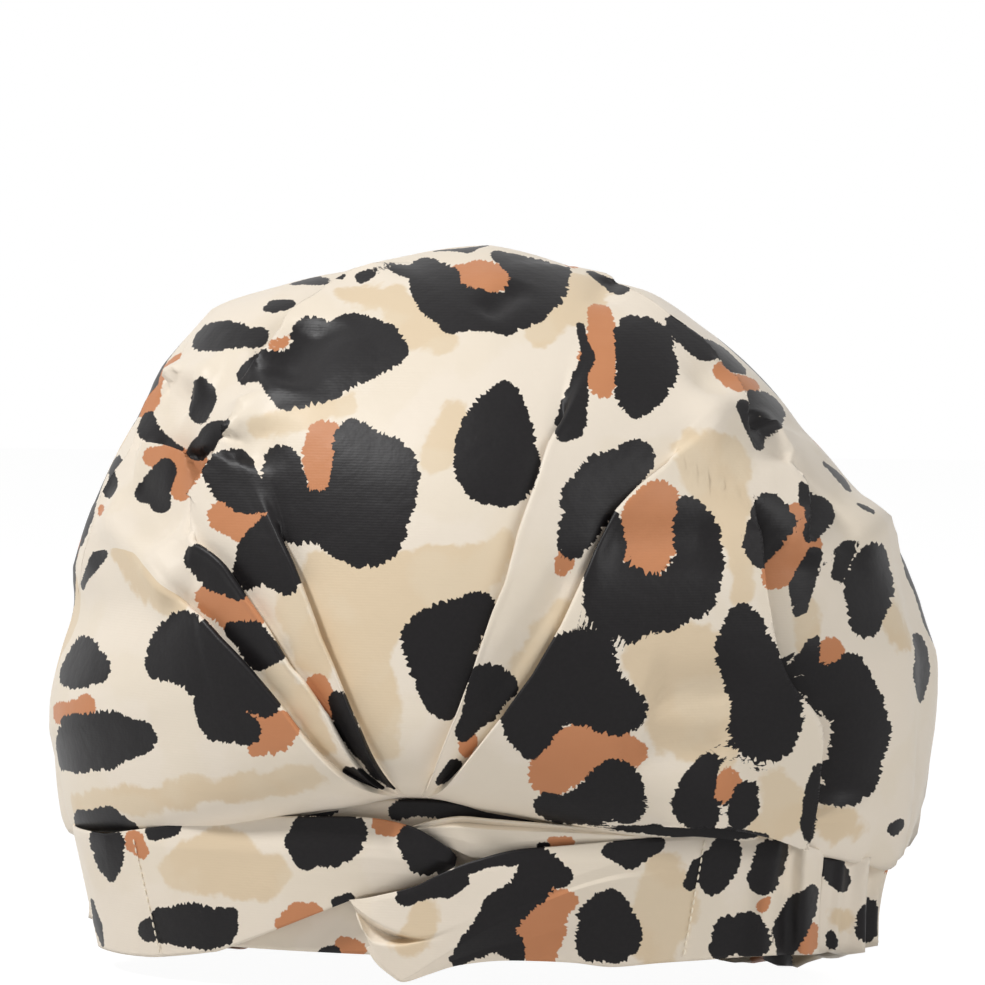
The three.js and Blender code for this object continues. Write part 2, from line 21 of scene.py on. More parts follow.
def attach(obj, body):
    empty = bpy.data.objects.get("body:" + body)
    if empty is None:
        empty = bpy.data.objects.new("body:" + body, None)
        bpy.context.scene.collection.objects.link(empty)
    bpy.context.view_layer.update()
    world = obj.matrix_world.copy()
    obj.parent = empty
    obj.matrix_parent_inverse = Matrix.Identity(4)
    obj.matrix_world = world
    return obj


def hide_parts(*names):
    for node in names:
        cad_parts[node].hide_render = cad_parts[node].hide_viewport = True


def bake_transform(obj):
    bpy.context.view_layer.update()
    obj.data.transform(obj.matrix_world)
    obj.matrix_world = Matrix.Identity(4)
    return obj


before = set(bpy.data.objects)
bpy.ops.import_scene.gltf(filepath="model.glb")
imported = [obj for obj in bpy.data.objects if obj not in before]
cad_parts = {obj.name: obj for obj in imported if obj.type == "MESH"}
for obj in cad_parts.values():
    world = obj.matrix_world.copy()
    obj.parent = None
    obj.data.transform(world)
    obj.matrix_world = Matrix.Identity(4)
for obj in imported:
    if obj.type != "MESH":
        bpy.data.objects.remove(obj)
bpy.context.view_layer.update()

LOG = logging.getLogger("shower_cap")
MM = 0.001
Array = np.ndarray
Pair = tuple[float, float]
Triple = tuple[float, float, float]
Pixels = Sequence[Pair]
Course = tuple[Array, Array]
Piece = bpy.types.Object


# Small maths


def ease(low: float, high: float, value: Array | float) -> Array:
    """Smooth step from 0 at low to 1 at high."""
    share = np.clip((np.asarray(value, float) - low) / (high - low), 0.0, 1.0)
    return share * share * (3.0 - 2.0 * share)


def unit(vectors: Array) -> Array:
    """Vectors scaled to length 1 along their last axis."""
    return vectors / np.maximum(np.linalg.norm(vectors, axis=-1, keepdims=True), 1e-12)


def spline(points: Array, at: Array) -> Array:
    """A smooth curve through control points.

    Args:
        points: Control points along the first axis.
        at: Places on the curve, counted in control points.

    Returns:
        One row for each place.
    """
    last = len(points) - 1
    first = np.clip(np.floor(at).astype(int), 0, last - 1)
    t = (at - first).reshape((-1,) + (1,) * (points.ndim - 1))
    a, b, c, d = (points[np.clip(first + k, 0, last)] for k in (-1, 0, 1, 2))
    square, cube = 2 * a - 5 * b + 4 * c - d, 3 * b - a - 3 * c + d
    return 0.5 * (2 * b + (c - a) * t + square * t**2 + cube * t**3)


def grid_of(first: Array, second: Array) -> list[Array]:
    """The values of two lists over a grid, the first from row to row."""
    return np.meshgrid(first, second, indexing="ij")


def on_circle(share: Array | float, angle: Array) -> Array:
    """Places at distances from the middle of a disc and at angles round it."""
    return np.stack([share * np.cos(angle), share * np.sin(angle)], axis=-1)


def evenly(points: Array, count: int) -> Array:
    """Places at even steps along a line.

    Args:
        points: Points of the line.
        count: How many places are wanted.

    Returns:
        One row for each place.
    """
    steps = np.r_[0.0, np.cumsum(np.linalg.norm(np.diff(points, axis=0), axis=1))]
    wanted = np.linspace(0.0, steps[-1], count)
    return np.stack([np.interp(wanted, steps, axis) for axis in points.T], axis=-1)


class Ripples:
    """A smooth seeded field of ripples in space, about -1 to 1."""

    def __init__(self, seed: int, longest: float, shortest: float, count: int = 28) -> None:
        """Draw the waves.

        Args:
            seed: Seed of the draw.
            longest: Longest wave.
            shortest: Shortest wave.
            count: How many waves are added up.
        """
        draw = np.random.default_rng(seed)
        lengths = np.exp(draw.uniform(math.log(shortest), math.log(longest), count))
        self.waves = unit(draw.normal(size=(count, 3))) * (2 * math.pi / lengths)[:, None]
        self.phases = draw.uniform(0, 2 * math.pi, count)
        self.heights = lengths / np.sqrt((lengths**2).sum() / 2)

    def at(self, points: Array) -> Array:
        """The field at points."""
        return (np.sin(points @ self.waves.T + self.phases) * self.heights).sum(axis=-1) / 2


# The view of the photograph


@dataclass(frozen=True)
class Viewpoint:
    """Where the photograph was taken from."""

    azimuth: float = 15.0
    elevation: float = 3.0
    distance: float = 2000.0
    picture: int = 985
    pixel: float = 0.284
    middle_right: float = 0.7
    middle_up: float = 134.8
    sensor: float = 36.0
    sight_metres: float = 50.0

    def axes(self) -> tuple[Array, Array, Array]:
        """The picture's directions in space.

        Returns:
            Directions to the right, up and towards the camera.
        """
        a, e = math.radians(self.azimuth), math.radians(self.elevation)
        right = np.array([math.cos(a), math.sin(a), 0.0])
        back = np.array([math.sin(a) * math.cos(e), -math.cos(a) * math.cos(e), math.sin(e)])
        return right, np.cross(back, right), back

    def target(self) -> Array:
        """The point at the middle of the picture."""
        right, up, _ = self.axes()
        return right * self.middle_right + up * self.middle_up

    def to_picture(self, points: Array) -> Array:
        """Find where points show.

        Args:
            points: Points in space.

        Returns:
            Their pixels.
        """
        right, up, back = self.axes()
        away = points - self.target()
        scale = self.distance / self.pixel / (self.distance - away @ back)
        half = self.picture / 2
        return np.stack([half + scale * (away @ right), half - scale * (away @ up)], axis=-1)

    def make_camera(self) -> None:
        """Add the camera and make it the scene's."""
        back = self.axes()[2]
        data = bpy.data.cameras.new("camera")
        data.sensor_width = self.sensor
        data.lens = self.sensor * self.distance / (self.picture * self.pixel)
        data.clip_end = self.sight_metres
        camera = bpy.data.objects.new("camera", data)
        camera.location = Vector((self.target() + back * self.distance) * MM)
        camera.rotation_euler = Vector(back).to_track_quat("Z", "Y").to_euler()
        bpy.context.scene.collection.objects.link(camera)
        bpy.context.scene.camera = camera


VIEW = Viewpoint()


# Shader nodes


class Wire:
    """A shader socket that does sums by adding Math nodes."""

    def __init__(self, bench: Bench, socket: bpy.types.NodeSocket) -> None:
        """Hold a socket of a bench's tree."""
        self.bench = bench
        self.socket = socket

    def _sum(self, operation: str, first: Any, second: Any) -> Wire:
        """Add a Math node."""
        return self.bench.add("ShaderNodeMath", {"operation": operation}, {0: first, 1: second})

    def __add__(self, other: Any) -> Wire:
        """This plus other."""
        return self._sum("ADD", self, other)

    def __sub__(self, other: Any) -> Wire:
        """This less other."""
        return self._sum("SUBTRACT", self, other)

    def __rsub__(self, other: Any) -> Wire:
        """Other less this."""
        return self._sum("SUBTRACT", other, self)

    def __mul__(self, other: Any) -> Wire:
        """This times other."""
        return self._sum("MULTIPLY", self, other)

    def __truediv__(self, other: Any) -> Wire:
        """This over other."""
        return self._sum("DIVIDE", self, other)

    def __rtruediv__(self, other: Any) -> Wire:
        """Other over this."""
        return self._sum("DIVIDE", other, self)

    __radd__ = __add__
    __rmul__ = __mul__

    def step(self, low: float, high: float) -> Wire:
        """Smooth step from 0 at low to 1 at high."""
        limits = {"Value": self, "From Min": low, "From Max": high}
        return self.bench.add("ShaderNodeMapRange", {"interpolation_type": "SMOOTHSTEP"}, limits)


class Bench:
    """A material or world on which nodes are laid out."""

    def __init__(self, owner: bpy.types.Material | bpy.types.World) -> None:
        """Empty the tree of nodes.

        Args:
            owner: The material or the world.
        """
        owner.use_nodes = True
        self.owner = owner
        self.tree = owner.node_tree
        self.tree.nodes.clear()

    @classmethod
    def material(cls, name: str) -> Bench:
        """Start a new material."""
        return cls(bpy.data.materials.new(name))

    def add(
        self, kind: str, settings: dict[str, Any], inputs: dict[Any, Any], out: Any = 0
    ) -> Wire | None:
        """Add a node.

        Args:
            kind: The node's type.
            settings: Its properties, set first.
            inputs: Values or wires by socket name or number.
            out: The output to return.

        Returns:
            The chosen output, if the node has any.
        """
        node = self.tree.nodes.new(kind)
        for key, value in settings.items():
            setattr(node, key, value)
        for key, value in inputs.items():
            if isinstance(value, Wire):
                self.tree.links.new(value.socket, node.inputs[key])
            else:
                node.inputs[key].default_value = value
        return Wire(self, node.outputs[out]) if node.outputs else None

    def mix(self, share: Any, first: Any, second: Any) -> Wire:
        """Mix two colours."""
        return self.add("ShaderNodeMix", {"data_type": "RGBA"}, {0: share, 6: first, 7: second}, 2)

    def noise(
        self,
        scale: float,
        detail: float = 2.0,
        roughness: float = 0.5,
        offset: float = 0.0,
        place: Wire | None = None,
    ) -> Wire:
        """Add a noise texture.

        Args:
            scale: Turns a metre.
            detail: Number of finer layers.
            roughness: Share of the finer layers.
            offset: How far the noise is moved, so that no two are alike.
            place: Where it is read, or None for Object coordinates.

        Returns:
            Noise from 0 to 1.
        """
        place = place or self.add("ShaderNodeTexCoord", {}, {}, "Object")
        shift = (offset, offset * 0.7, -offset)
        moved = self.add("ShaderNodeMapping", {}, {"Vector": place, "Location": shift})
        inputs = {"Vector": moved, "Scale": scale, "Detail": detail, "Roughness": roughness}
        return self.add("ShaderNodeTexNoise", {}, inputs, 0)

    def field(self, name: str) -> Wire:
        """A number stored on the piece's points."""
        return self.add("ShaderNodeAttribute", {"attribute_name": name}, {}, "Fac")

    def bump(self, height: Wire, strength: float, distance: float) -> Wire:
        """A bump from a height of 0 to 1."""
        return self.add("ShaderNodeBump", {}, {"Height": height, "Strength": strength, "Distance": distance})

    def close(self, surface: Wire) -> bpy.types.Material:
        """Send a shader to the output and return the material."""
        self.add("ShaderNodeOutputMaterial", {}, {"Surface": surface})
        return self.owner

    def background(self) -> Wire:
        """Tell what the camera sees from what lights the cap.

        Returns:
            1 where the camera sees a surface itself, in a mirror or through glass.
        """
        kinds = ("Camera", "Glossy", "Transmission")
        rays = [self.add("ShaderNodeLightPath", {}, {}, f"Is {kind} Ray") for kind in kinds]
        return rays[0] + rays[1] + rays[2]


def tone(code: str) -> tuple[float, float, float, float]:
    """Turn a hex code into a linear colour.

    Args:
        code: Six hex digits.

    Returns:
        Red, green, blue and alpha.
    """
    shares = [int(code[k : k + 2], 16) / 255 for k in (0, 2, 4)]
    linear = [s / 12.92 if s <= 0.04045 else ((s + 0.055) / 1.055) ** 2.4 for s in shares]
    return (linear[0], linear[1], linear[2], 1.0)


# Finishes


@dataclass(frozen=True)
class PrintedCloth:
    """Coated polyester with a leopard print on an ivory ground."""

    ivory: str = "f1e5d4"
    sand: str = "e5d0b1"
    haze: str = "eadcc4"
    black: str = "131112"
    worn_black: str = "2b2829"
    tan: str = "cf8f66"
    rust: str = "c5835a"
    tooth: float = 1.4
    roughness: float = 0.43
    specular: float = 0.18
    sheen: float = 0.04
    sheen_roughness: float = 0.4
    thread_scale: float = 420.0
    crease_height: float = 0.0011

    def material(self) -> bpy.types.Material:
        """Build the material, whose spots are distances stored on the piece's points.

        Returns:
            The material.
        """
        bench = Bench.material("printed_cloth")
        place = bench.add("ShaderNodeTexCoord", {}, {}, "Object")
        black = (bench.field("black") + self._fur(bench, "black", 0.0)).step(0.14, -0.14)
        tan = (bench.field("tan") + self._fur(bench, "tan", 0.4)).step(0.2, -0.2)
        edge = (bench.noise(300, 3.0, 0.6, 0.13) - 0.5) * 0.12
        torn = (bench.noise(110, 3.0, 0.6, 0.4) - 0.5) * 9.0
        wash = (bench.field("sand") + torn).step(0.9, -0.9)
        faint = (bench.noise(41, 1.0, 0.5, 0.9) + edge).step(0.5, 0.6)
        ground = bench.mix(wash, tone(self.ivory), tone(self.sand))
        ground = bench.mix(faint * 0.3, ground, tone(self.haze))
        worn = bench.noise(900, 2.0, 0.6, 0.5)
        ink = bench.mix(worn * 0.35, tone(self.black), tone(self.worn_black))
        rust = bench.mix(bench.noise(60, 3.0, 0.6, 0.2), tone(self.tan), tone(self.rust))
        colour = bench.mix(black, bench.mix(tan, ground, rust), ink)
        weave = {"Vector": place, "Scale": self.thread_scale, "Distortion": 1.5, "Detail": 1.0}
        threads = bench.add("ShaderNodeTexWave", {"bands_direction": "Z"}, weave)
        creases = bench.noise(70, 4.0, 0.55, 0.66) * 0.8 + bench.noise(260, 2.0, 0.5, 0.1) * 0.2
        normal = bench.bump(creases + threads * 0.02, 0.35, self.crease_height)
        rough = bench.noise(120, 2.0, 0.5, 0.8) * 0.1 + self.roughness - 0.05
        inputs = {"Base Color": colour, "Roughness": rough, "Normal": normal}
        inputs |= {"Specular IOR Level": self.specular}
        inputs |= {"Sheen Weight": self.sheen, "Sheen Roughness": self.sheen_roughness}
        return bench.close(bench.add("ShaderNodeBsdfPrincipled", {}, inputs))

    def _fur(self, bench: Bench, ink: str, offset: float) -> Wire:
        """The ragged edge of the spots, finer on a small spot.

        Args:
            bench: The material's bench.
            ink: Name of the ink.
            offset: How far the noise of the edge is moved.

        Returns:
            How far the edge is moved at each place, as a distance.
        """
        place = bench.add("ShaderNodeAttribute", {"attribute_name": ink + "_rim"}, {}, "Vector")
        share = bench.field(ink + "_size").step(0.5, 6.5) * 0.7 + 0.3
        fine = bench.noise(620, 1.0, 0.5, offset, place) - 0.5
        spikes = bench.add("ShaderNodeMath", {"operation": "ABSOLUTE"}, {0: fine}) * 4.2 - 0.75
        strength = bench.noise(55, 1.0, 0.5, 0.77).step(0.3, 0.62) * 0.55 + 0.55
        lumps = (bench.noise(120, 1.0, 0.5, 0.31 + offset, place) - 0.5) * 2.0
        grit = (bench.noise(1500, 1.0, 0.5, 0.6) - 0.5) * 0.5
        return ((spikes * strength) * self.tooth + lumps) * share + grit


@dataclass(frozen=True)
class LiningFilm:
    """Smooth waterproof lining."""

    shade: str = "e9e2d6"
    cloud: str = "ded5c6"

    def material(self) -> bpy.types.Material:
        """Build the material.

        Returns:
            The material.
        """
        bench = Bench.material("lining_film")
        colour = bench.mix(bench.noise(30, 3.0, 0.5), tone(self.shade), tone(self.cloud))
        normal = bench.bump(bench.noise(110, 5.0, 0.6, 0.3), 0.5, 0.0014)
        rough = bench.noise(200, 2.0, 0.5, 0.6) * 0.12 + 0.26
        inputs = {"Base Color": colour, "Roughness": rough, "Normal": normal, "Coat Weight": 0.1}
        return bench.close(bench.add("ShaderNodeBsdfPrincipled", {}, inputs))


@dataclass(frozen=True)
class WovenTape:
    """Matt woven tape or ribbed webbing."""

    name: str
    shade: str
    ribs: float
    # colour between the ribs: painted shade
    painted_groove_shade: str = "c9c0b2"

    def material(self) -> bpy.types.Material:
        """Build the material, ribbed along the piece's own length, with painted shade between the ribs.

        Returns:
            The material.
        """
        bench = Bench.material(self.name)
        along = bench.field("along")
        rib = bench.add("ShaderNodeMath", {"operation": "SINE"}, {0: along * self.ribs}) * 0.5 + 0.5
        share = rib * 0.5 + bench.noise(700, 2.0) * 0.3
        # darker between the ribs, where the bump is low: painted shade, mixed with random tone
        colour = bench.mix(share, tone(self.painted_groove_shade), tone(self.shade))
        normal = bench.bump(rib + bench.noise(1400, 2.0) * 0.4, 0.6, 0.0004)
        rough = bench.noise(500, 2.0) * 0.15 + 0.7
        inputs = {"Base Color": colour, "Roughness": rough, "Normal": normal, "Sheen Weight": 0.2}
        return bench.close(bench.add("ShaderNodeBsdfPrincipled", {}, inputs))


@dataclass(frozen=True)
class SewingThread:
    """Twisted polyester thread."""

    shade: str = "fbf2e0"
    hollow: str = "f0e2c8"

    def material(self) -> bpy.types.Material:
        """Build the material.

        Returns:
            The material.
        """
        bench = Bench.material("thread")
        twist = bench.noise(2600, 1.0)
        colour = bench.mix(twist, tone(self.shade), tone(self.hollow))
        normal = bench.bump(twist, 0.5, 0.0002)
        inputs = {"Base Color": colour, "Roughness": twist * 0.2 + 0.5, "Normal": normal}
        return bench.close(bench.add("ShaderNodeBsdfPrincipled", {}, inputs))


# Forms that the pieces share


@dataclass(frozen=True)
class HeadLoop:
    """The oval that the band follows, drawn in towards its lower edge."""

    width: float = 224.0
    depth: float = 120.0
    middle: float = -15.0
    height: float = 34.0
    lift: float = 5.0
    taper: float = 6.0
    rise: float = 16.0
    spread: float = 58.0
    hem: float = 10.6
    sag: Pair = (0.1, 0.75)

    def outward(self, angle: Array) -> Array:
        """Level directions away from the loop."""
        return unit(np.stack([self.depth * np.cos(angle), self.width * np.sin(angle)], axis=-1))

    def point(self, angle: Array, out: Array | float, height: Array | float) -> Array:
        """Points beside the loop.

        Args:
            angle: Angles round the loop in radians, -pi/2 at the front.
            out: Distances outwards.
            height: Heights above the floor.

        Returns:
            Points in space.
        """
        angle, out, height = np.broadcast_arrays(angle, out, height)
        drawn = self.taper * (1 - np.clip((height - self.lift) / self.height, 0, 1))
        side = self.outward(angle) * (out - drawn)[..., None]
        x = self.width / 2 * np.cos(angle) + side[..., 0]
        y = self.middle + self.depth / 2 * np.sin(angle) + side[..., 1]
        return np.stack([x, y, height], axis=-1)

    def top(self, angle: Array) -> Array:
        """Height of the band's upper edge, which the twist pushes up at the front."""
        swell = self.rise * np.exp(-((self.width / 2 * np.cos(angle) / self.spread) ** 2))
        return self.lift + self.height + np.where(np.sin(angle) < 0, swell, 0.0)

    def bottom(self, angle: Array) -> Array:
        """Height of the casing's lower edge, which sags to the floor at the back."""
        return self.hem * (1 - ease(*self.sag, np.sin(angle)))


LOOP = HeadLoop()


@dataclass(frozen=True)
class BagForm:
    """The smooth bag of the crown, laid out on a disc: its middle is the top, its rim the hem."""

    half_width: float = 127.0
    half_depth: float = 93.0
    top: float = 204.0
    bulge: float = 80.0
    bulge_share: float = 0.78
    slack: float = 17.0
    slack_at: Pair = (0.5, 0.06)
    slack_spread: float = 0.3
    hem_out: float = 1.0
    droop_at: float = 0.915
    droop_width: float = 0.06
    droops: tuple[Triple, ...] = (
        # angle in degrees, fall, spread in radians
        (-6, 11.0, 0.42),
        (188, 6.0, 0.35),
        (95, 5.0, 1.0),
    )

    def point(
        self, disc: Array, inset: float = 0.0, lift: float = 0.35, hang: float = 1.0, drawn: bool = True
    ) -> Array:
        """Points of the bag.

        Args:
            disc: Places on the disc.
            inset: How far the bag is drawn in.
            lift: How far its hem is above the band.
            hang: Share of the droop over the band.
            drawn: Whether the bag is drawn to the photograph's outline.

        Returns:
            Points in space.
        """
        x, y = disc[..., 0], disc[..., 1]
        share = np.minimum(np.hypot(x, y), 1.0)
        angle = np.arctan2(y, x)
        rim = np.array([self.half_width - inset, self.half_depth - inset]) * on_circle(1.0, angle)
        upper = np.clip(share / self.bulge_share, 0, 1) * math.pi / 2
        away = np.hypot(x - self.slack_at[0], y - self.slack_at[1]) / self.slack_spread
        sunk = self.slack * np.exp(-(away**2)) * (1 - np.clip(share / self.bulge_share, 0, 1) ** 4)
        under = np.clip((share - self.bulge_share) / (1 - self.bulge_share), 0, 1) * math.pi / 2
        hem = LOOP.point(angle, self.hem_out, LOOP.top(angle) + lift)
        level = rim * np.sin(upper)[..., None]
        below = share > self.bulge_share
        level = level + (hem[..., :2] - level) * np.where(below, 1 - np.cos(under), 0.0)[..., None]
        height = self.bulge + (self.top - inset - self.bulge) * np.cos(upper) - sunk
        height = np.where(below, self.bulge + (hem[..., 2] - self.bulge) * np.sin(under), height)
        off = (share - self.droop_at) / self.droop_width
        height = height - hang * self.droop(angle) * np.exp(-(off**2)) * ease(1.0, 0.97, share)
        points = np.concatenate([level, height[..., None]], axis=-1)
        return OUTLINE.draw(points, np.hypot(x, y)) if drawn else points

    def droop(self, angle: Array) -> Array:
        """How far the bag hangs over the band's upper edge.

        Args:
            angle: Angles round the loop.

        Returns:
            The fall at each angle.
        """
        total = np.zeros(np.shape(angle))
        for middle, fall, spread in self.droops:
            turn = np.angle(np.exp(1j * (angle - math.radians(middle))))
            total = total + fall * np.exp(-((turn / spread) ** 2))
        return total

    def normal(self, disc: Array, inset: float = 0.0) -> Array:
        """Outward directions of the bag.

        Args:
            disc: Places on the disc.
            inset: How far the bag is drawn in.

        Returns:
            One direction for each place.
        """
        step = 1e-3
        share = np.hypot(disc[..., 0], disc[..., 1])
        place = disc * np.minimum(1.0, (1 - 2 * step) / np.maximum(share, step))[..., None]
        side, fore = np.array([step, 0.0]), np.array([0.0, step])
        across = self.point(place + side, inset) - self.point(place - side, inset)
        along = self.point(place + fore, inset) - self.point(place - fore, inset)
        return unit(np.cross(across, along))


BAG = BagForm()


class Outline:
    """The crown's outline in the photograph, as pixels, to which the round bag is drawn."""

    middle = (490.0, 640.0)
    step = 2.0
    pixels = (
        (75, 840), (60, 800), (50, 740), (50, 700), (75, 620), (78, 600), (75, 570), (105, 480),
        (140, 415), (165, 365), (190, 335), (215, 306), (275, 288), (345, 272), (400, 258), (490, 245),
        (560, 262), (600, 277), (650, 290), (700, 325), (750, 367), (800, 428), (850, 485), (880, 518),
        (893, 550), (905, 580), (920, 622), (933, 655), (924, 709), (904, 811), (894, 848), (881, 859),
    )

    def __init__(self, form: BagForm) -> None:
        """Work out by how much the outline differs from the form's in each direction.

        Args:
            form: The round bag.
        """
        share, angle = grid_of(np.linspace(0, 1, 160), np.linspace(0, math.tau, 720))
        turn, away = self._polar(form.point(on_circle(share, angle), drawn=False))
        self.turns = np.radians(np.arange(-180, 181, self.step))
        bins = np.round((turn + math.pi) / math.radians(self.step)).astype(int)
        self.round = np.array([away[bins == k].max() for k in range(len(self.turns))])
        self.round[0] = self.round[-1] = max(self.round[0], self.round[-1])
        wanted = np.array(self.pixels, float) - self.middle
        order = np.argsort(np.arctan2(wanted[:, 1], wanted[:, 0]))
        ends = np.arctan2(wanted[:, 1], wanted[:, 0])[order]
        reach = np.hypot(wanted[:, 0], wanted[:, 1])[order]
        self.change = np.interp(self.turns, ends, reach, period=2 * math.pi) / self.round
        # the band hides the bag's outline below the last pixels on both sides, so it stays round there
        low, high = ends[ends > 0].min(), ends[(ends > 0) & (ends < 3.0)].max()
        self.change[(self.turns > low) & (self.turns < high)] = 1.0

    def _polar(self, points: Array) -> tuple[Array, Array]:
        """Directions and distances of points from the middle of the picture of the cap."""
        off = VIEW.to_picture(points) - self.middle
        return np.arctan2(off[..., 1], off[..., 0]), np.hypot(off[..., 0], off[..., 1])

    def draw(self, points: Array, share: Array) -> Array:
        """Draw points of a bag to the outline.

        Args:
            points: Points of the round bag.
            share: Their distances from the disc's middle.

        Returns:
            The points, moved in the plane of the picture.
        """
        right, up, _ = VIEW.axes()
        turn, away = self._polar(points)
        edge = np.interp(turn, self.turns, self.round)
        grow = np.interp(turn, self.turns, self.change) - 1
        grow = grow * ease(0.4, 1.0, away / edge) * ease(1.0, 0.93, share)
        move = grow * away * VIEW.pixel
        return points + (move * np.cos(turn))[..., None] * right - (move * np.sin(turn))[..., None] * up


OUTLINE = Outline(BAG)


class Lookup:
    """Finds which of a set of points a pixel shows."""

    def __init__(self, points: Array, normals: Array, facing: float = 0.02) -> None:
        """Keep the points that face the camera.

        Args:
            points: Points on a surface.
            normals: Its outward directions there.
            facing: Least share of a direction that is towards the camera.
        """
        self.kept = np.flatnonzero(normals @ VIEW.axes()[2] > facing)
        self.pixels = VIEW.to_picture(points[self.kept])

    def find(self, pixels: Array, allowed: Array | None = None) -> Array:
        """Numbers of the points nearest to pixels.

        Args:
            pixels: Places in the picture.
            allowed: Which points may be chosen.

        Returns:
            One number for each pixel.
        """
        kept, seen = self.kept, self.pixels
        if allowed is not None and allowed[kept].any():
            choice = allowed[kept]
            kept, seen = kept[choice], seen[choice]
        return np.array([kept[np.argmin(((seen - p) ** 2).sum(axis=1))] for p in pixels])


# Meshes

CROWN_MIDDLE = (0, 0, 90)
BAND_MIDDLE = (0, 0, 25)
BACK_MIDDLE = (0, -15, 22)
MERGE_METRES = 2e-6


def lay_grid(
    points: Array, marks: Array | int = 0, middle: Sequence[float] = CROWN_MIDDLE
) -> bmesh.types.BMesh:
    """Make a single layer of cloth from rows of points.

    Args:
        points: Rows of points.
        marks: A whole number for each point or for all, kept on the mesh as "panel".
        middle: A point inside the piece, from which its faces look away.

    Returns:
        The layer.
    """
    rows, columns = points.shape[:2]
    bm = bmesh.new()
    bmesh.ops.create_grid(bm, x_segments=columns - 1, y_segments=rows - 1, size=1.0)
    layer = bm.verts.layers.int.new("panel")
    marks = np.broadcast_to(marks, (rows, columns))
    for vertex in bm.verts:
        i = round((vertex.co.x + 1) / 2 * (columns - 1))
        j = round((vertex.co.y + 1) / 2 * (rows - 1))
        vertex.co = points[j, i] * MM
        vertex[layer] = int(marks[j, i])
    bmesh.ops.remove_doubles(bm, verts=bm.verts, dist=MERGE_METRES)
    bm.normal_update()
    inside = Vector(middle) * MM
    if sum(f.normal.dot(f.calc_center_median() - inside) * f.calc_area() for f in bm.faces) < 0:
        bmesh.ops.reverse_faces(bm, faces=bm.faces)
    bm.normal_update()
    return bm


def thicken(bm: bmesh.types.BMesh, wall: float) -> None:
    """Give a layer of cloth its thickness; the new points follow the old ones in order.

    Args:
        bm: The layer.
        wall: Thickness, added inwards.
    """
    bm.normal_update()
    inwards = bm.verts.layers.float_vector.new("inwards")
    for vertex in bm.verts:
        vertex[inwards] = vertex.normal * (-wall * MM)
    made = bmesh.ops.extrude_face_region(bm, geom=bm.faces[:], use_keep_orig=True)["geom"]
    for vertex in made:
        if isinstance(vertex, bmesh.types.BMVert):
            vertex.co += vertex[inwards]
    bm.verts.layers.float_vector.remove(inwards)
    bmesh.ops.recalc_face_normals(bm, faces=bm.faces)


def lay_sheet(
    name: str,
    points: Array,
    wall: float,
    marks: Array | int = 0,
    middle: Sequence[float] = CROWN_MIDDLE,
) -> Piece:
    """Make a sheet of cloth from rows of points.

    Args:
        name: The piece's name.
        points: Rows of points.
        wall: Thickness, added inwards.
        marks: A whole number for each point or for all, kept on the mesh as "panel".
        middle: A point inside the piece, from which its faces look away.

    Returns:
        The object.
    """
    bm = lay_grid(points, marks, middle)
    thicken(bm, wall)
    return finish_mesh(name, bm)


def finish_mesh(name: str, bm: bmesh.types.BMesh) -> Piece:
    """Turn a bmesh into a smooth object in the scene.

    Args:
        name: The piece's name.
        bm: Its mesh, which is freed.

    Returns:
        The object.
    """
    mesh = bpy.data.meshes.new(name)
    bm.to_mesh(mesh)
    bm.free()
    mesh.polygons.foreach_set("use_smooth", [True] * len(mesh.polygons))
    piece = bpy.data.objects.new(name, mesh)
    bpy.context.scene.collection.objects.link(piece)
    return piece


def points_of(piece: Piece) -> tuple[Array, Array]:
    """Read a mesh.

    Args:
        piece: The piece.

    Returns:
        Its points in millimetres and its normals.
    """
    count = len(piece.data.vertices)
    points, normals = np.empty(count * 3), np.empty(count * 3)
    piece.data.vertices.foreach_get("co", points)
    piece.data.vertex_normals.foreach_get("vector", normals)
    return points.reshape(-1, 3) / MM, normals.reshape(-1, 3)


def store(piece: Piece, name: str, values: Array) -> None:
    """Keep values on a piece's points.

    Args:
        piece: The piece.
        name: Name of the attribute.
        values: A number, or a place in millimetres, for each point.
    """
    if values.ndim == 1:
        layer = piece.data.attributes.new(name, "FLOAT", "POINT")
        layer.data.foreach_set("value", values.astype(np.float32))
    else:
        layer = piece.data.attributes.new(name, "FLOAT_VECTOR", "POINT")
        layer.data.foreach_set("vector", (values * MM).astype(np.float32).ravel())


def cloth_area(piece: Piece) -> float:
    """Area of one side of a piece of cloth in square metres."""
    return sum(p.area for p in piece.data.polygons) / 2


# The print


class Ink(Enum):
    """Colours printed on the ground."""

    BLACK = "black"
    TAN = "tan"
    SAND = "sand"


class Cloth(IntEnum):
    """Panels of the crown between its tucks, from right to left, and the other printed pieces."""

    RIGHT = 0
    RIGHT_STRIP = 1
    CENTRE = 2
    INNER_STRIP = 3
    OUTER_STRIP = 4
    LEFT = 5
    CROWN = 6
    BACKING = 7
    BAND_LEFT = 8
    BAND_RIGHT = 9
    ROLL = 10
    CASING = 11


HIDDEN = 100


@dataclass(frozen=True)
class Spot:
    """One spot: a chain of round dabs of ink, each a pixel and a radius in pixels."""

    ink: Ink
    dabs: tuple[Triple, ...]


def black(*dabs: Triple) -> Spot:
    """A black spot."""
    return Spot(Ink.BLACK, dabs)


def tan(*dabs: Triple) -> Spot:
    """A tan spot."""
    return Spot(Ink.TAN, dabs)


def sand(*dabs: Triple) -> Spot:
    """A darker patch of the ground."""
    return Spot(Ink.SAND, dabs)


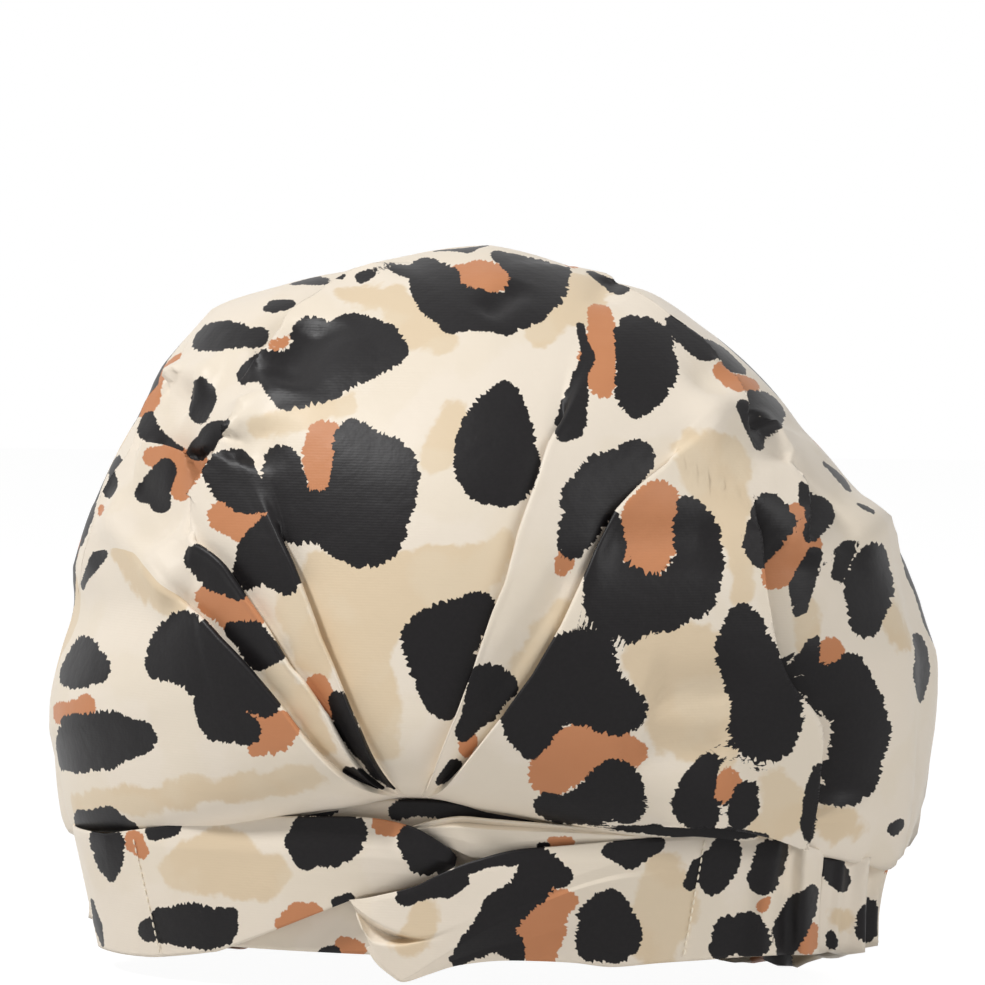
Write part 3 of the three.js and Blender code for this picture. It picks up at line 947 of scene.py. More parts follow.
SPOTS: dict[Cloth, tuple[Spot, ...]] = {
    Cloth.CENTRE: (
        black(
            (285, 466, 19), (285, 492, 21), (296, 524, 18), (320, 518, 21), (363, 522, 41), (375, 476, 42),
            (354, 442, 20),
        ),
        tan((326, 440, 14), (324, 456, 18), (328, 480, 16), (333, 500, 12)),
        black((479, 612, 19), (452, 628, 24), (428, 642, 22), (441, 664, 29), (446, 692, 25), (444, 712, 9)),
        tan((468, 680, 8), (465, 694, 6)),
        sand((318, 562, 14), (345, 596, 40), (375, 600, 44), (352, 650, 36), (376, 700, 22), (386, 745, 12)),
        sand((392, 588, 34), (440, 578, 30), (492, 562, 20), (508, 546, 12)),
    ),
    Cloth.INNER_STRIP: (
        black((222, 470, 17), (236, 478, 25), (249, 492, 17), (268, 505, 8)),
        tan((222, 516, 12), (247, 524, 15), (267, 518, 9)),
        black((274, 528, 12), (267, 553, 29), (288, 578, 14)),
        black((247, 572, 17), (262, 560, 24)),
        tan((318, 688, 10), (325, 712, 8)),
        black((338, 702, 11), (347, 728, 10), (360, 747, 9), (377, 768, 9), (391, 784, 5)),
        tan((352, 741, 4), (350, 736, 3)),
        sand((292, 606, 16), (312, 650, 16), (322, 672, 10)),
    ),
    Cloth.OUTER_STRIP: (
        black((195, 560, 13), (215, 573, 15), (238, 586, 11)),
        tan((208, 601, 12), (235, 611, 17), (256, 614, 10)),
        black((233, 631, 8), (252, 637, 14), (260, 654, 15), (277, 652, 10)),
        black((345, 774, 7), (356, 780, 9), (376, 784, 7)),
        sand((274, 674, 12), (300, 702, 14), (326, 742, 12)),
    ),
    Cloth.LEFT: (
        black((158, 664, 17), (181, 650, 31), (211, 663, 34), (242, 682, 26), (268, 704, 15)),
        black((211, 680, 25), (223, 714, 22), (246, 728, 15)),
        tan((228, 700, 6), (241, 703, 9), (257, 718, 9), (272, 733, 17), (289, 723, 10)),
        tan((258, 748, 7), (268, 742, 8)),
        black((66, 676, 13), (82, 661, 24), (100, 668, 15)),
        tan((58, 711, 8), (74, 714, 8), (90, 707, 9)),
        black((60, 758, 14), (78, 746, 26), (110, 741, 25), (142, 738, 16)),
        black((84, 822, 14), (110, 822, 14), (131, 829, 8)),
        black((101, 524, 4), (97, 545, 6), (90, 566, 5), (82, 586, 4)),
        sand((124, 508, 8), (140, 528, 16), (156, 558, 22), (168, 592, 24)),
        sand((80, 806, 12), (130, 800, 14), (190, 795, 14), (250, 786, 14), (315, 776, 12)),
    ),
    Cloth.CROWN: (
        black((149, 420, 7), (151, 432, 13), (164, 441, 6), (182, 449, 3)),
        tan((150, 457, 7), (170, 463, 13), (188, 467, 14), (181, 482, 12), (178, 493, 7)),
        black((146, 487, 10), (155, 482, 11), (166, 494, 9), (172, 502, 4)),
        black((112, 484, 9), (118, 472, 10), (110, 494, 6)),
        tan((176, 352, 6), (164, 376, 8), (150, 402, 8), (145, 412, 4)),
        tan((106, 504, 3), (102, 512, 3)),
        black((201, 386, 8), (203, 400, 13), (198, 412, 11)),
        black((224, 423, 6), (210, 438, 11), (199, 448, 9), (191, 453, 4)),
        black((207, 334, 15), (231, 334, 14), (253, 338, 9), (264, 332, 5)),
        black((273, 305, 9), (292, 303, 6)),
        black((290, 285, 5), (317, 279, 7), (340, 274, 5)),
        black((363, 278, 7), (388, 274, 8), (410, 270, 9)),
        black(
            (247, 375, 10), (262, 364, 12), (279, 370, 17), (290, 386, 22), (319, 369, 33), (354, 350, 34),
            (381, 351, 22), (400, 352, 6),
        ),
        black((312, 333, 18), (332, 345, 20)),
        tan((276, 348, 8), (293, 341, 5)),
        tan((460, 271, 9), (478, 277, 19), (496, 274, 12)),
        black(
            (426, 266, 13), (431, 282, 21), (440, 298, 22), (456, 314, 17), (480, 308, 19), (506, 314, 17),
            (524, 302, 22), (540, 282, 22), (549, 271, 17), (520, 263, 15), (502, 257, 9),
        ),
        black((454, 324, 11), (462, 313, 14)),
        black((508, 325, 11), (514, 310, 16)),
        black((437, 253, 3), (466, 249, 4), (487, 247, 3)),
        tan((575, 265, 4), (570, 264, 3)),
        black((590, 273, 4), (619, 287, 8), (636, 300, 6)),
        black((584, 335, 5), (580, 352, 5), (578, 373, 5), (576, 398, 10), (572, 422, 13), (564, 434, 6)),
        tan((605, 323, 9), (602, 342, 12), (600, 364, 13), (598, 386, 11)),
        black((633, 326, 13), (643, 346, 27), (644, 368, 27), (643, 391, 21), (640, 410, 8)),
        black((502, 396, 12), (498, 420, 26), (497, 445, 37), (499, 464, 41)),
        black((668, 324, 8), (682, 325, 14), (702, 341, 17), (722, 355, 15), (738, 366, 10)),
        tan((722, 371, 8), (736, 378, 10), (752, 384, 7)),
        black((757, 398, 14), (771, 410, 13), (771, 425, 7)),
        black((743, 407, 8), (752, 425, 11), (760, 443, 7)),
        black((826, 464, 4), (840, 480, 6), (852, 492, 4)),
        black((860, 502, 3), (868, 510, 5)),
        tan((816, 446, 4), (824, 455, 4)),
        sand((345, 294, 8), (390, 300, 14), (416, 326, 22), (440, 344, 12)),
        sand((540, 330, 16), (574, 296, 28), (596, 284, 14)),
        sand((250, 424, 8), (300, 414, 14), (345, 404, 10)),
        sand((434, 452, 16), (452, 420, 14)),
        sand((686, 440, 14), (714, 462, 32), (722, 505, 24), (738, 545, 16), (742, 590, 12)),
        sand((600, 284, 8), (640, 310, 8)),
    ),
    Cloth.RIGHT_STRIP: (
        black((507, 688, 12), (489, 684, 18), (480, 706, 15), (466, 732, 9)),
        tan((470, 742, 8), (466, 752, 5)),
        black((453, 767, 8), (439, 781, 5)),
        black((636, 460, 18), (613, 478, 24), (589, 502, 24), (577, 527, 17), (573, 548, 13)),
        tan((563, 566, 8), (566, 560, 7)),
        sand((562, 622, 18), (532, 660, 14), (500, 702, 10)),
    ),
    Cloth.RIGHT: (
        black((594, 654, 22), (578, 658, 26), (556, 681, 30), (531, 721, 27), (531, 752, 8)),
        black((560, 690, 30), (592, 690, 30), (612, 706, 24), (632, 713, 17)),
        tan((550, 776, 17), (564, 759, 24), (588, 738, 16), (611, 752, 17), (637, 755, 10)),
        black((546, 803, 12), (560, 812, 12), (590, 806, 18), (614, 792, 25), (628, 804, 18)),
        tan((656, 496, 16), (654, 510, 24), (650, 534, 24), (645, 560, 18)),
        black(
            (612, 520, 10), (611, 545, 14), (602, 572, 13), (606, 598, 20), (622, 603, 30), (660, 608, 24),
            (688, 590, 24), (700, 560, 20), (697, 528, 20), (690, 505, 12),
        ),
        black((630, 630, 11), (628, 612, 16)),
        black(
            (738, 612, 10), (742, 626, 18), (744, 648, 25), (751, 672, 28), (764, 697, 31), (767, 725, 33),
            (770, 748, 15),
        ),
        black((772, 507, 14), (770, 522, 20), (766, 542, 17), (761, 558, 9)),
        tan((797, 514, 10), (793, 535, 18), (788, 555, 18), (779, 573, 13)),
        tan((815, 544, 6), (806, 546, 6)),
        black((801, 484, 3), (808, 498, 9), (819, 516, 14), (811, 534, 9)),
        black((813, 558, 9), (804, 586, 11), (798, 614, 8)),
        black((847, 540, 5), (840, 556, 8), (831, 578, 6)),
        black((873, 563, 18), (870, 590, 26), (868, 616, 18)),
        black(
            (816, 645, 7), (808, 669, 10), (813, 691, 12), (830, 704, 16), (857, 712, 20), (858, 738, 27),
            (855, 770, 26), (847, 790, 17),
        ),
        black((848, 677, 21), (863, 683, 13), (857, 705, 14)),
        tan((836, 657, 5), (829, 653, 7), (819, 672, 6), (827, 691, 7)),
        black((921, 645, 11), (920, 673, 12), (920, 696, 7)),
        black((896, 828, 8), (899, 822, 6)),
        black((819, 770, 7), (814, 798, 9), (810, 822, 9), (806, 840, 6)),
        black((708, 766, 11), (700, 784, 14), (694, 803, 19), (702, 815, 16)),
        tan((724, 780, 11), (724, 796, 9)),
        black((747, 784, 10), (743, 805, 13), (736, 818, 10)),
        # this thin black chain along the crown's lower right edge is partly print and partly painted shadow of the gap
        # under the crown's lip
        black((612, 827, 3), (655, 830, 5), (690, 832, 5), (730, 832, 6), (765, 837, 4)),
        sand((662, 660, 34), (690, 664, 38), (692, 716, 42), (716, 752, 20)),
        sand((772, 786, 20), (790, 810, 20), (764, 830, 14)),
        sand((884, 610, 14), (902, 640, 14)),
        sand((812, 612, 14), (806, 648, 10)),
        sand((838, 822, 20), (864, 836, 14)),
    ),
    Cloth.BACKING: (
        black((300, 810, 8), (330, 806, 9)),
        black((396, 810, 9), (419, 804, 10), (444, 806, 12), (477, 808, 12), (511, 812, 10), (536, 816, 7)),
        # this black chain along the band's upper right edge is partly print and partly painted shadow of the gap under
        # the crown's lip
        black(
            (569, 818, 7), (607, 825, 6), (645, 829, 6), (685, 832, 5), (715, 832, 6), (745, 832, 7), (770, 837, 5),
            (788, 842, 3),
        ),
        tan((342, 945, 7), (358, 951, 8)),
        black((334, 955, 8), (322, 955, 5)),
    ),
    Cloth.BAND_LEFT: (
        black((106, 844, 19), (108, 860, 14), (111, 877, 5)),
        black((92, 902, 4), (97, 925, 6), (103, 944, 4)),
        tan((135, 842, 9), (144, 853, 5)),
        black((153, 833, 9), (175, 827, 8)),
        black((308, 829, 12), (304, 843, 18), (307, 859, 11)),
        black((310, 842, 18), (328, 840, 23), (339, 833, 24)),
        tan((385, 825, 9), (400, 827, 7)),
        black((412, 839, 13), (427, 852, 20), (442, 858, 15)),
        black((148, 932, 11), (167, 927, 16), (194, 927, 20), (221, 927, 16), (232, 912, 6)),
        tan((284, 927, 8), (301, 917, 10), (312, 913, 7)),
        black((337, 904, 7), (351, 907, 8)),
        sand((186, 872, 22), (225, 864, 32), (262, 876, 26)),
    ),
    Cloth.BAND_RIGHT: (
        black((406, 897, 10), (420, 890, 9), (448, 885, 11), (463, 880, 8)),
        black((538, 851, 8), (510, 856, 7), (475, 865, 6), (444, 876, 4)),
        black(
            (562, 877, 10), (539, 870, 17), (529, 888, 15), (504, 911, 17), (492, 932, 17), (474, 945, 12),
            (458, 958, 8),
        ),
        black((492, 935, 17), (512, 945, 11), (518, 956, 6)),
        tan((566, 902, 8), (546, 908, 15), (538, 929, 21), (540, 950, 14)),
        black((612, 900, 11), (605, 920, 25), (612, 935, 24), (592, 946, 16)),
        black((611, 850, 7), (629, 852, 13), (657, 844, 9)),
        black((724, 850, 14), (718, 869, 17), (711, 885, 10)),
        black((698, 865, 7), (692, 883, 7)),
        black((782, 843, 8), (772, 856, 14), (763, 879, 15)),
        tan((762, 906, 4), (766, 900, 3)),
        black((751, 923, 11), (753, 942, 15), (734, 935, 17), (719, 950, 10)),
        black((812, 894, 8), (803, 910, 13), (790, 930, 15), (786, 948, 10)),
        tan((808, 944, 9), (812, 930, 5)),
        sand((664, 872, 20), (664, 905, 30), (656, 940, 24)),
        sand((424, 918, 16), (408, 944, 14)),
    ),
    Cloth.ROLL: (
        tan((552, 842, 3), (568, 842, 4)),
        black((540, 845, 3), (548, 845, 3)),
    ),
    Cloth.CASING: (
        black(
            (818, 842, 8), (822, 849, 8), (826, 856, 9), (830, 863, 9), (834, 870, 9), (838, 877, 8), (841, 884, 7),
            (843, 890, 5),
        ),
        black((867, 911, 13), (866, 928, 15)),
        black((832, 943, 7), (831, 934, 5)),
        sand((838, 915, 10), (842, 930, 8)),
    ),
}


class LeopardPrint:
    """Lays the spots on a piece as distances to their edges."""

    reach: float = 14.0
    soft: float = 1.1
    depth: float = 0.35
    growth = {Ink.BLACK: -0.25, Ink.TAN: 0.4, Ink.SAND: 0.0}
    unseen_facing: float = 0.06
    full_size_gap: float = 40.0
    blots: float = 0.3

    def dress(self, piece: Piece, cloths: Sequence[Cloth], gap: float, seed: int) -> None:
        """Store the distances to each ink on a piece's points.

        Args:
            piece: The piece.
            cloths: The parts of the print that it shows.
            gap: Distance between the spots that are added out of sight, or 0.
            seed: Seed of those spots.
        """
        points, normals = points_of(piece)
        outside = np.arange(len(points)) < len(points) // 2
        panels = np.empty(len(points), dtype=np.int32)
        piece.data.attributes["panel"].data.foreach_get("value", panels)
        lookup = Lookup(points, np.where(outside[:, None], normals, -VIEW.axes()[2]))
        bare = np.c_[np.full(len(points), self.reach), points, np.ones(len(points))]
        fields = {ink: bare.copy() for ink in Ink}
        right, up, back = VIEW.axes()
        depth = self._plain(piece, points) @ back * self.depth
        seen = np.stack([points @ right, points @ up, depth], axis=-1)
        placed = []
        for cloth in cloths:
            here = panels % HIDDEN == cloth if cloth < Cloth.CROWN else np.ones(len(points), bool)
            for spot in SPOTS[cloth]:
                dabs = np.array(spot.dabs, float)
                found = lookup.find(dabs[:, :2], here & (panels < HIDDEN))
                radii = dabs[:, 2] * VIEW.pixel + self.growth[spot.ink]
                placed.append(np.c_[points[found], radii])
                self._join(fields[spot.ink], seen, np.c_[seen[found], radii], here)
        if gap:
            for ink, chain in self._scatter(points, normals, outside, np.concatenate(placed), gap, seed):
                self._join(fields[ink], points, chain, np.ones(len(points), bool))
        for ink, values in fields.items():
            store(piece, ink.value, values[:, 0])
            store(piece, ink.value + "_rim", values[:, 1:4])
            store(piece, ink.value + "_size", values[:, 4])

    @staticmethod
    def _plain(piece: Piece, points: Array) -> Array:
        """A piece's points as they were before its creases, where it has any.

        Args:
            piece: The piece.
            points: Its points as they are.

        Returns:
            The points, before the creases.
        """
        if "plain" not in piece.data.attributes:
            return points
        values = np.empty(points.size)
        piece.data.attributes["plain"].data.foreach_get("vector", values)
        piece.data.attributes.remove(piece.data.attributes["plain"])
        return values.reshape(-1, 3) / MM

    def _join(self, field: Array, points: Array, chain: Array, here: Array) -> None:
        """Bring a chain of dabs into a field.

        Args:
            field: For each point the distance to the ink, the nearest place of its edge and the
                dab's radius there.
            points: The piece's points.
            chain: Middles and radii of the dabs.
            here: Which points the ink may reach.
        """
        middle = chain[:, :3].mean(axis=0)
        extent = (np.linalg.norm(chain[:, :3] - middle, axis=1) + chain[:, 3]).max() + self.reach
        near = np.flatnonzero(here & (np.linalg.norm(points - middle, axis=1) < extent))
        total, best = np.zeros(len(near)), np.full(len(near), np.inf)
        rim, size = points[near].copy(), np.ones(len(near))
        for start, end in zip(chain[:-1], chain[1:]):
            step = end[:3] - start[:3]
            share = np.clip((points[near] - start[:3]) @ step / max(step @ step, 1e-9), 0, 1)
            foot = start[:3] + share[:, None] * step
            away = np.linalg.norm(points[near] - foot, axis=1)
            radius = start[3] + share * (end[3] - start[3])
            total += np.exp(-(away - radius) / self.soft)
            closer = away - radius < best
            best = np.where(closer, away - radius, best)
            edge = foot + unit(points[near] - foot) * radius[:, None]
            rim = np.where(closer[:, None], edge, rim)
            size = np.where(closer, radius, size)
        distance = -self.soft * np.log(np.maximum(total, 1e-12))
        won = distance < field[near, 0]
        field[near[won]] = np.c_[distance, rim, size][won]

    def _scatter(
        self, points: Array, normals: Array, outside: Array, placed: Array, gap: float, seed: int
    ) -> list[tuple[Ink, Array]]:
        """Seeded spots for the side that the photograph doesn't show.

        Args:
            points: The piece's points.
            normals: Its normals.
            outside: Which points are on its outer side.
            placed: Dabs that are there already.
            gap: Least distance between two spots.
            seed: Seed of the draw.

        Returns:
            Inks and chains of dabs.
        """
        draw = np.random.default_rng(seed)
        unseen = np.flatnonzero(outside & (normals @ VIEW.axes()[2] < self.unseen_facing))
        middles: list[Array] = []
        spots: list[tuple[Ink, Array]] = []
        for number in draw.permutation(unseen):
            here = points[number]
            if any(np.linalg.norm(here - m) < gap for m in middles):
                continue
            if (np.linalg.norm(placed[:, :3] - here, axis=1) - placed[:, 3]).min() < gap * 0.5:
                continue
            middles.append(here)
            side = unit(np.cross(normals[number], draw.normal(size=3)))
            size = gap / self.full_size_gap
            spots += self._rosette(here, side, np.cross(normals[number], side), size, draw)
        return spots

    def _rosette(
        self, here: Array, side: Array, fore: Array, size: float, draw: np.random.Generator
    ) -> list[tuple[Ink, Array]]:
        """One seeded spot: a broken ring of black round tan, or a plain black blot.

        Args:
            here: Its middle.
            side: A direction along the cloth.
            fore: The direction across that one.
            size: Its size, where 1 is full size.
            draw: Source of the draws.

        Returns:
            Inks and chains of dabs.
        """
        spots = []
        stretch = draw.uniform(0.8, 1.25)

        def dab(turn: float, out: float, radius: float) -> Array:
            """A dab of ink.

            Args:
                turn: Its direction from the spot's middle.
                out: Its distance from there, at full size.
                radius: Its radius, at full size.

            Returns:
                Its middle and radius.
            """
            out = out * size
            place = here + side * math.cos(turn) * out * stretch + fore * math.sin(turn) * out / stretch
            return np.r_[place, radius * size]

        if draw.random() < self.blots:
            turn = draw.uniform(0, math.tau)
            dabs = [dab(turn, out, draw.uniform(6, 9.5)) for out in (-6, 0, 6)]
            return [(Ink.BLACK, np.array(dabs))]
        start = draw.uniform(0, math.tau)
        for first, last in ((0.0, draw.uniform(2.6, 3.7)), (4.4, draw.uniform(5.0, 5.6))):
            turns = start + np.linspace(first, last, 5)
            dabs = [dab(turn, draw.uniform(11.5, 14.5), draw.uniform(4.4, 7.0)) for turn in turns]
            spots.append((Ink.BLACK, np.array(dabs)))
        opening = start + 5.4
        spots.append((Ink.TAN, np.array([dab(opening, out, draw.uniform(6, 8)) for out in (-2, 7)])))
        aside = start + draw.uniform(2.0, 4.0)
        dabs = [dab(aside + k * 0.7, draw.uniform(20, 27), draw.uniform(7, 13)) for k in range(3)]
        spots.append((Ink.SAND, np.array(dabs)))
        return spots


# The crown


class Side(Enum):
    """The side of a tuck whose cloth lies on top."""

    RIGHT = -1
    LEFT = 1


@dataclass(frozen=True)
class Tuck:
    """A fold that runs from the gathering point over the crown, with its edge as pixels."""

    over: Side
    line: Pixels
    crest: float = 3.0
    dip: float = 1.5
    hidden: float = 8.0
    fade: Pair = (0.72, 1.0)


TUCKS = (
    Tuck(
        Side.RIGHT,
        (
            (443, 786), (499, 723), (518, 696), (552, 653), (580, 608), (592, 575), (604, 540), (622, 508), (662, 466),
            (693, 435), (716, 405),
        ),
    ),
    Tuck(
        Side.RIGHT,
        (
            (430, 781), (458, 711), (477, 662), (499, 603), (511, 575), (525, 524), (542, 473), (552, 442), (560, 418),
            (571, 382), (585, 345),
        ),
    ),
    Tuck(Side.LEFT, ((395, 787), (363, 728), (344, 687), (324, 638), (304, 590), (286, 541), (277, 517), (264, 468))),
    Tuck(
        Side.LEFT,
        ((370, 776), (334, 720), (307, 682), (293, 667), (269, 626), (249, 597), (231, 568), (202, 544), (176, 506)),
        fade=(0.76, 1.0),
    ),
    Tuck(Side.LEFT, ((339, 769), (286, 708), (252, 665), (223, 636), (194, 607), (167, 580), (150, 556))),
)


@dataclass(frozen=True)
class Crease:
    """A crease of the crown as pixels, with its rise and width on both sides of its course.

    A crisp crease ends in an edge, and over is how far the higher side hangs over the lower one.
    A crease that runs under another one is given that one's number and leaves its raised side alone.
    """

    line: Pixels
    left: Pair
    right: Pair
    soft: bool = False
    over: float = 0.0
    ends: Pair = (0.2, 0.2)
    under: int | None = None
    step: float = 4.0
    smoothing: int = 5
    soft_turn: float = 1.3
    crisp_turn: float = 0.7

    @property
    def to_right(self) -> bool:
        """Whether the right side is the higher one."""
        return self.right[0] > self.left[0]

    def on_bag(self, lookup: Lookup, points: Array, normals: Array) -> Course:
        """Where the crease runs over the smooth bag.

        Args:
            lookup: Finds the bag's points by pixel.
            points: Points of the bag.
            normals: Its outward directions there.

        Returns:
            Points about a third of a millimetre apart, drawn back by as much as the edge hangs
            over, and the bag's directions at them.
        """
        line = np.array(self.line, float)
        length = np.linalg.norm(np.diff(line, axis=0), axis=1).sum()
        course = evenly(spline(line, np.linspace(0, len(line) - 1, 160)), max(6, int(length / self.step)))
        right, up, back = VIEW.axes()
        found = lookup.find(course)
        off = (course - VIEW.to_picture(points[found])) * VIEW.pixel
        depth = points[found] @ back
        pad = self.smoothing
        kernel = np.hanning(2 * pad + 3)[1:-1]
        smooth = np.convolve(np.pad(depth, pad, "edge"), kernel / kernel.sum(), "valid") - depth
        place = points[found] + off[:, :1] * right - off[:, 1:] * up + smooth[:, None] * back
        out = [np.convolve(np.pad(n, pad, "edge"), kernel, "valid") for n in normals[found].T]
        out = np.stack(out, axis=-1)
        both = np.concatenate([place, unit(out)], axis=1)
        fine = spline(both, np.linspace(0, len(both) - 1, len(both) * 4))
        across = unit(np.cross(unit(np.gradient(fine[:, :3], axis=0)), unit(fine[:, 3:])))
        drawn = self.over * self._held(np.linspace(0, 1, len(fine))) * (1 if self.to_right else -1)
        return fine[:, :3] + across * drawn[:, None], unit(fine[:, 3:])

    def _held(self, share: Array) -> Array:
        """Strength of the crease at shares of its length."""
        return ease(0.0, self.ends[0], share) * ease(0.0, self.ends[1], 1 - share)

    @staticmethod
    def _beside(course: Course, points: Array, reach: float) -> tuple[Array, ...]:
        """Where points lie against the crease.

        Args:
            course: Places of the crease and the bag's directions there.
            points: The crown's points.
            reach: How far from the crease points count.

        Returns:
            Numbers of the points within reach, the nearest places of the crease, and for each of
            them the distance, the direction across the crease and the way along that direction.
        """
        places, outs = course
        low, high = places.min(axis=0) - reach, places.max(axis=0) + reach
        near = np.flatnonzero(((points > low) & (points < high)).all(axis=1))
        nearest = []
        for part in np.array_split(near, 1 + len(near) // 2000):
            nearest.append(np.linalg.norm(points[part, None, :] - places[None], axis=2).argmin(axis=1))
        nearest = np.concatenate(nearest)
        away = points[near] - places[nearest]
        across = unit(np.cross(unit(np.gradient(places, axis=0)), outs))[nearest]
        return near, nearest, np.linalg.norm(away, axis=1), across, (away * across).sum(axis=1)

    def snap(self, course: Course, points: Array, reach: float) -> None:
        """Slide the points next to a crisp crease onto it, so that its edge runs clean.

        Args:
            course: Places of the crease and the bag's directions there.
            points: The crown's points, which are moved.
            reach: How far a point may be slid.
        """
        near, nearest, distance, across, side = self._beside(course, points, 3.0)
        inner = (nearest > 0) & (nearest < len(course[0]) - 1)
        close = (np.abs(side) < reach) & (distance < 4 * reach) & inner
        points[near[close]] -= across[close] * side[close, None]

    def uncovered(self, course: Course, points: Array, reach: float = 40.0) -> Array:
        """Which points lie off the crease's raised side.

        Args:
            course: Places of the crease and the bag's directions there.
            points: The crown's points.
            reach: How far from the crease points count.

        Returns:
            A share from 0 to 1 for each point.
        """
        near, _, _, _, side = self._beside(course, points, reach)
        result = np.ones(len(points))
        result[near] = ease(0.5, -0.5, side if self.to_right else -side)
        return result

    def move(self, course: Course, points: Array) -> Array:
        """How far the crease moves each of the crown's points.

        Args:
            course: Places of the crease and the bag's directions there.
            points: The crown's points.

        Returns:
            A move for each point.
        """
        places, outs = course
        result = np.zeros_like(points)
        reach = max(self.left[1], self.right[1]) * 4
        near, nearest, distance, across, side = self._beside(course, points, reach)
        if not len(near):
            return result
        power = 2.0 if self.soft else 1.0
        left = self.left[0] * np.exp(-((distance / self.left[1]) ** power))
        right = self.right[0] * np.exp(-((distance / self.right[1]) ** power))
        fade = self._held(nearest / (len(places) - 1))
        turn = ease(-self.soft_turn, self.soft_turn, side)
        if self.over:
            turn = ease(-self.crisp_turn, 0.0, side) if self.to_right else ease(0.0, self.crisp_turn, side)
        result[near] = outs[nearest] * ((left + (right - left) * turn) * fade)[:, None]
        if self.over:
            raised = turn if self.to_right else 1 - turn
            slip = raised * self.over * np.exp(-distance / (3 * self.over)) * fade
            result[near] -= across * (slip if self.to_right else -slip)[:, None]
        return result


CREASES = (
    # front panel over the top and the shoulders
    Crease(
        ((413, 261), (345, 283), (312, 303), (290, 313), (272, 341), (256, 360), (236, 381)), (3.5, 14), (-5, 10),
        over=2.5,
    ),
    Crease(
        (
            (571, 266), (587, 270), (602, 279), (644, 307), (663, 324), (692, 345), (713, 363), (727, 378), (731, 384),
            (735, 394), (740, 413), (743, 424), (746, 434), (757, 451),
        ),
        (-5.5, 12), (3, 14), over=4.0, ends=(0.15, 0.15),
    ),
    Crease(((748, 404), (767, 432), (780, 453), (790, 468)), (2, 7), (-2, 7), True),
    Crease(
        ((786, 460), (795, 474), (800, 489), (803, 504), (807, 524), (809, 545)), (-5, 8), (3, 8), over=2.5,
        ends=(0.4, 0.4),
    ),
    Crease(((731, 382), (705, 388), (694, 391), (680, 394)), (-4, 7), (-4, 7), True, ends=(0.02, 0.5)),
    Crease(((730, 383), (709, 403), (702, 422), (682, 445)), (3.5, 6), (3.5, 6), True, ends=(0.05, 0.5)),
    # left shoulder
    Crease(((322, 318), (299, 355), (280, 387)), (-3.5, 8), (-3.5, 8), True),
    Crease(((250, 392), (248, 415), (241, 440)), (4, 6), (4, 6), True),
    Crease(((265, 420), (262, 445), (256, 470)), (-3, 6), (-3, 6), True),
    Crease(((238, 414), (234, 432), (222, 461), (206, 488), (188, 513)), (5, 14), (-8, 12), over=3.5, ends=(0.3, 0.15)),
    Crease(((172, 378), (198, 375), (222, 372)), (3.5, 6), (3.5, 6), True, ends=(0.05, 0.3)),
    Crease(((173, 379), (180, 392), (192, 402)), (-4, 5), (-4, 5), True, ends=(0.05, 0.3)),
    Crease(
        ((140, 454), (153, 447), (172, 449), (190, 455), (206, 463)), (-4, 8), (4, 9), over=2.0, ends=(0.25, 0.4),
        under=9,
    ),
    Crease(
        (
            (190, 335), (173, 375), (155, 398), (145, 420), (138, 451), (125, 469), (106, 505), (101, 532), (88, 560),
            (77, 594),
        ),
        (3, 12), (-3, 9), over=2.0,
    ),
    Crease(((108, 505), (129, 527), (156, 560), (190, 600)), (5, 8), (5, 8), True),
    Crease(((128, 490), (150, 515), (175, 545)), (-3, 7), (-3, 7), True),
    # right side
    Crease(
        (
            (752, 495), (752, 526), (755, 546), (758, 575), (763, 605), (768, 630), (775, 656), (785, 680), (803, 703),
            (815, 718), (819, 731), (818, 750), (815, 765), (814, 782), (811, 801), (806, 819), (802, 842),
        ),
        (-11, 13), (4.5, 16), over=4.5, ends=(0.12, 0.04),
    ),
    Crease(((822, 700), (828, 745), (826, 800), (824, 850)), (-3, 7), (-3, 7), True),
    Crease(
        ((630, 825), (690, 820), (718, 821), (754, 829), (774, 837), (792, 845), (808, 848)), (4, 12), (-6, 7),
        over=4.0, ends=(0.35, 0.08),
    ),
    Crease(((590, 542), (630, 543), (675, 542), (717, 537)), (-2.2, 7), (-2.2, 7), True),
    Crease(((886, 520), (866, 536), (845, 548)), (3.5, 8), (3.5, 8), True),
    Crease(((640, 690), (690, 694), (735, 690)), (-2, 6), (-2, 6), True),
    Crease(((620, 745), (680, 747), (735, 742)), (-2, 6), (-2, 6), True),
    # centre
    Crease(((586, 546), (550, 604), (506, 672), (470, 728)), (-1.5, 4), (-1.5, 4), True),
    Crease(((521, 283), (481, 315)), (-2, 4), (-2, 4), True),
    Crease(((597, 280), (596, 313)), (-1.5, 3), (-1.5, 3), True),
)


